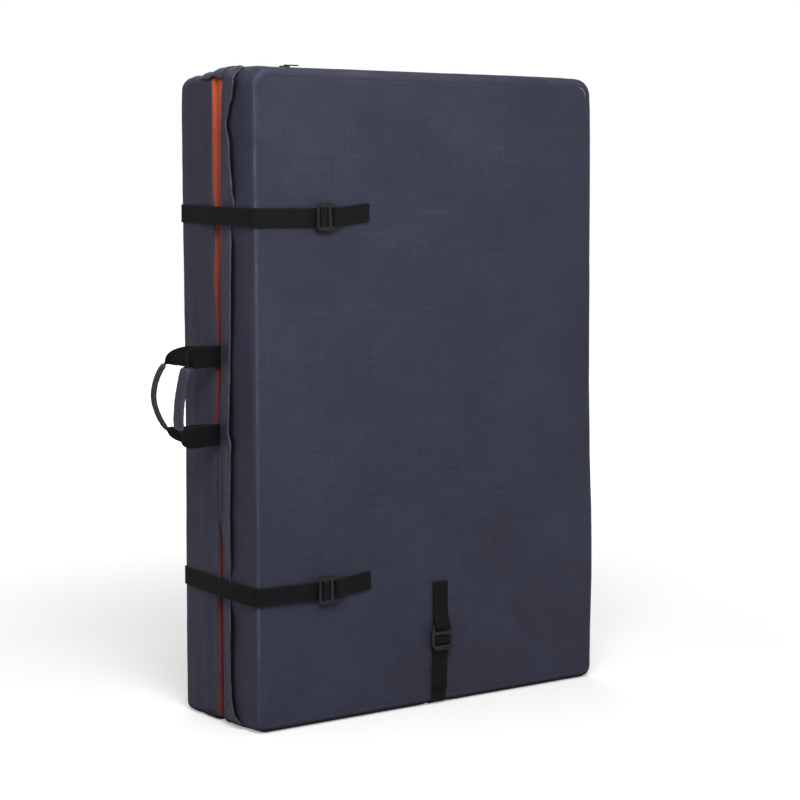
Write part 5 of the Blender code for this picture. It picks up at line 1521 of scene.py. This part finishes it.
plug_lay = Lay(place(PLUG_LENGTH, BACK_PLANE, BELT_Z), -X, Z, Y)
plug_end = PLUG_LENGTH - BELT_END
web_on_back("belt_strap_right", plug_lay, [(plug_end, STRAP_W)] + thread([-BELT_TAIL]), "belt_web_right", 6.0,
            drawn=(-0.012, plug_end + PLUG_TRAVEL))
socket_lay = Lay(place(-GAP, BACK_PLANE, BELT_Z), -X, Z, Y)
socket_axis = SOCKET_LENGTH - END_BAR / 2
socket_line = tab_line(BELT_END - GAP - socket_axis, socket_axis, BELT_FOLD)
web_on_back("belt_strap_left", socket_lay, socket_line, "belt_web_left", 8.0)


# Finishes of the CAD nodes that stay

KEPT = (
    (PLASTIC, ("buckle_upper", "buckle_lower", "buckle_bottom", "adjuster_left", "adjuster_right", "belt_plug",
               "belt_socket")),
    (METAL, ("zip_slider_back", "zip_pull_back", "zip_slider_front", "zip_pull_front")),
    (FIRM, ("foam_top_back", "foam_base_back", "foam_top_front", "foam_base_front")),
    (SOFT, ("foam_core_back", "foam_core_front")),
)
for finish, names in KEPT:
    for name in names:
        for held in frame["nodes"][name].material_slots:
            held.material = finish


# Floor, light and camera


def floor():
    """A pale floor, white to the camera and in reflections, that keeps the object's shadow."""
    reach, drop = 9.0, -0.0004
    mesh = bpy.data.meshes.new("studio_floor")
    corners = [(x * reach, y * reach, drop) for x, y in ((-1, -1), (1, -1), (1, 1), (-1, 1))]
    mesh.from_pydata(corners, [], [(0, 1, 2, 3)])
    made = Finish("studio_floor_paint", 0.9, specular=0.1)
    rays = ("Is Camera Ray", "Is Glossy Ray", "Is Transmission Ray")
    camera_ray, glossy, clear = (made.node("LightPath", out=name) for name in rays)
    made.dress(Base_Color=made.mix(camera_ray, grey(0.45), grey(0.88)))
    seen = made.math("MAXIMUM", made.math("ADD", camera_ray, glossy), clear)
    away = made.node("VectorMath", {0: made.node("TexCoord", out=OBJECT)}, out="Value", operation="LENGTH")
    strength = made.times(seen, made.ramp(away, 0.33, 0.86, 0.7, 3.2))
    glow = made.node("Emission", {"Color": grey(1), "Strength": strength})
    both = made.node("AddShader", {0: made.shader.outputs[0], 1: glow})
    made.put(made.tree.nodes["Material Output"].inputs["Surface"], both)
    mesh.materials.append(made.material)
    obj = bpy.data.objects.new("studio_floor", mesh)
    bpy.context.scene.collection.objects.link(obj)


def world():
    """A soft even light, white to the camera."""
    made = bpy.data.worlds.new("studio")
    bpy.context.scene.world = made
    made.use_nodes = True
    made.node_tree.nodes.clear()
    sky = Nodes(made.node_tree)
    light = sky.node("Background", {"Color": (0.98, 0.99, 1.0, 1), "Strength": 0.34})
    white = sky.node("Background", {"Color": grey(1), "Strength": 1.0})
    mixed = sky.node("MixShader", {0: sky.node("LightPath", out="Is Camera Ray"), 1: light, 2: white})
    sky.put(sky.tree.nodes.new("ShaderNodeOutputWorld").inputs["Surface"], mixed)


def lamp(name, spot, height, size, energy):
    """A square lamp that looks at this height on the pad's middle."""
    data = bpy.data.lights.new(name, "AREA")
    data.shape, data.size, data.energy = "SQUARE", size, energy
    obj = bpy.data.objects.new(name, data)
    bpy.context.scene.collection.objects.link(obj)
    obj.location = spot
    obj.rotation_euler = (Z * height - Vector(spot)).to_track_quat("-Z", "Y").to_euler()


def camera():
    """The photograph's view."""
    data = bpy.data.cameras.new("camera")
    data.sensor_fit, data.sensor_width = "HORIZONTAL", 36.0
    data.lens, data.shift_y = 95.865, -0.08
    data.clip_start, data.clip_end = 0.05, 60.0
    obj = bpy.data.objects.new("camera", data)
    bpy.context.scene.collection.objects.link(obj)
    yaw, pitch, roll = math.radians(35.982), math.radians(3.753), math.radians(-0.205)
    forward = Vector((math.cos(pitch) * math.sin(yaw), math.cos(pitch) * math.cos(yaw), -math.sin(pitch)))
    level = Vector((math.cos(yaw), -math.sin(yaw), 0))
    right = level * math.cos(roll) + level.cross(forward) * math.sin(roll)
    basis = Matrix((right, right.cross(forward), -forward)).transposed()
    obj.matrix_world = Matrix.Translation(place(-1.7943, -2.488, 0.7209)) @ basis.to_4x4()
    bpy.context.scene.camera = obj


floor()
world()
lamp("key", (-0.7, -1.35, 1.8), 0.5, 1.0, 33.0)
lamp("fill", (2.6, -2.2, 1.6), 0.4, 2.4, 6.5)
lamp("rear", (1.2, 2.8, 2.4), 0.45, 2.2, 26.0)
camera()
bpy.context.scene.view_settings.view_transform = "Standard"
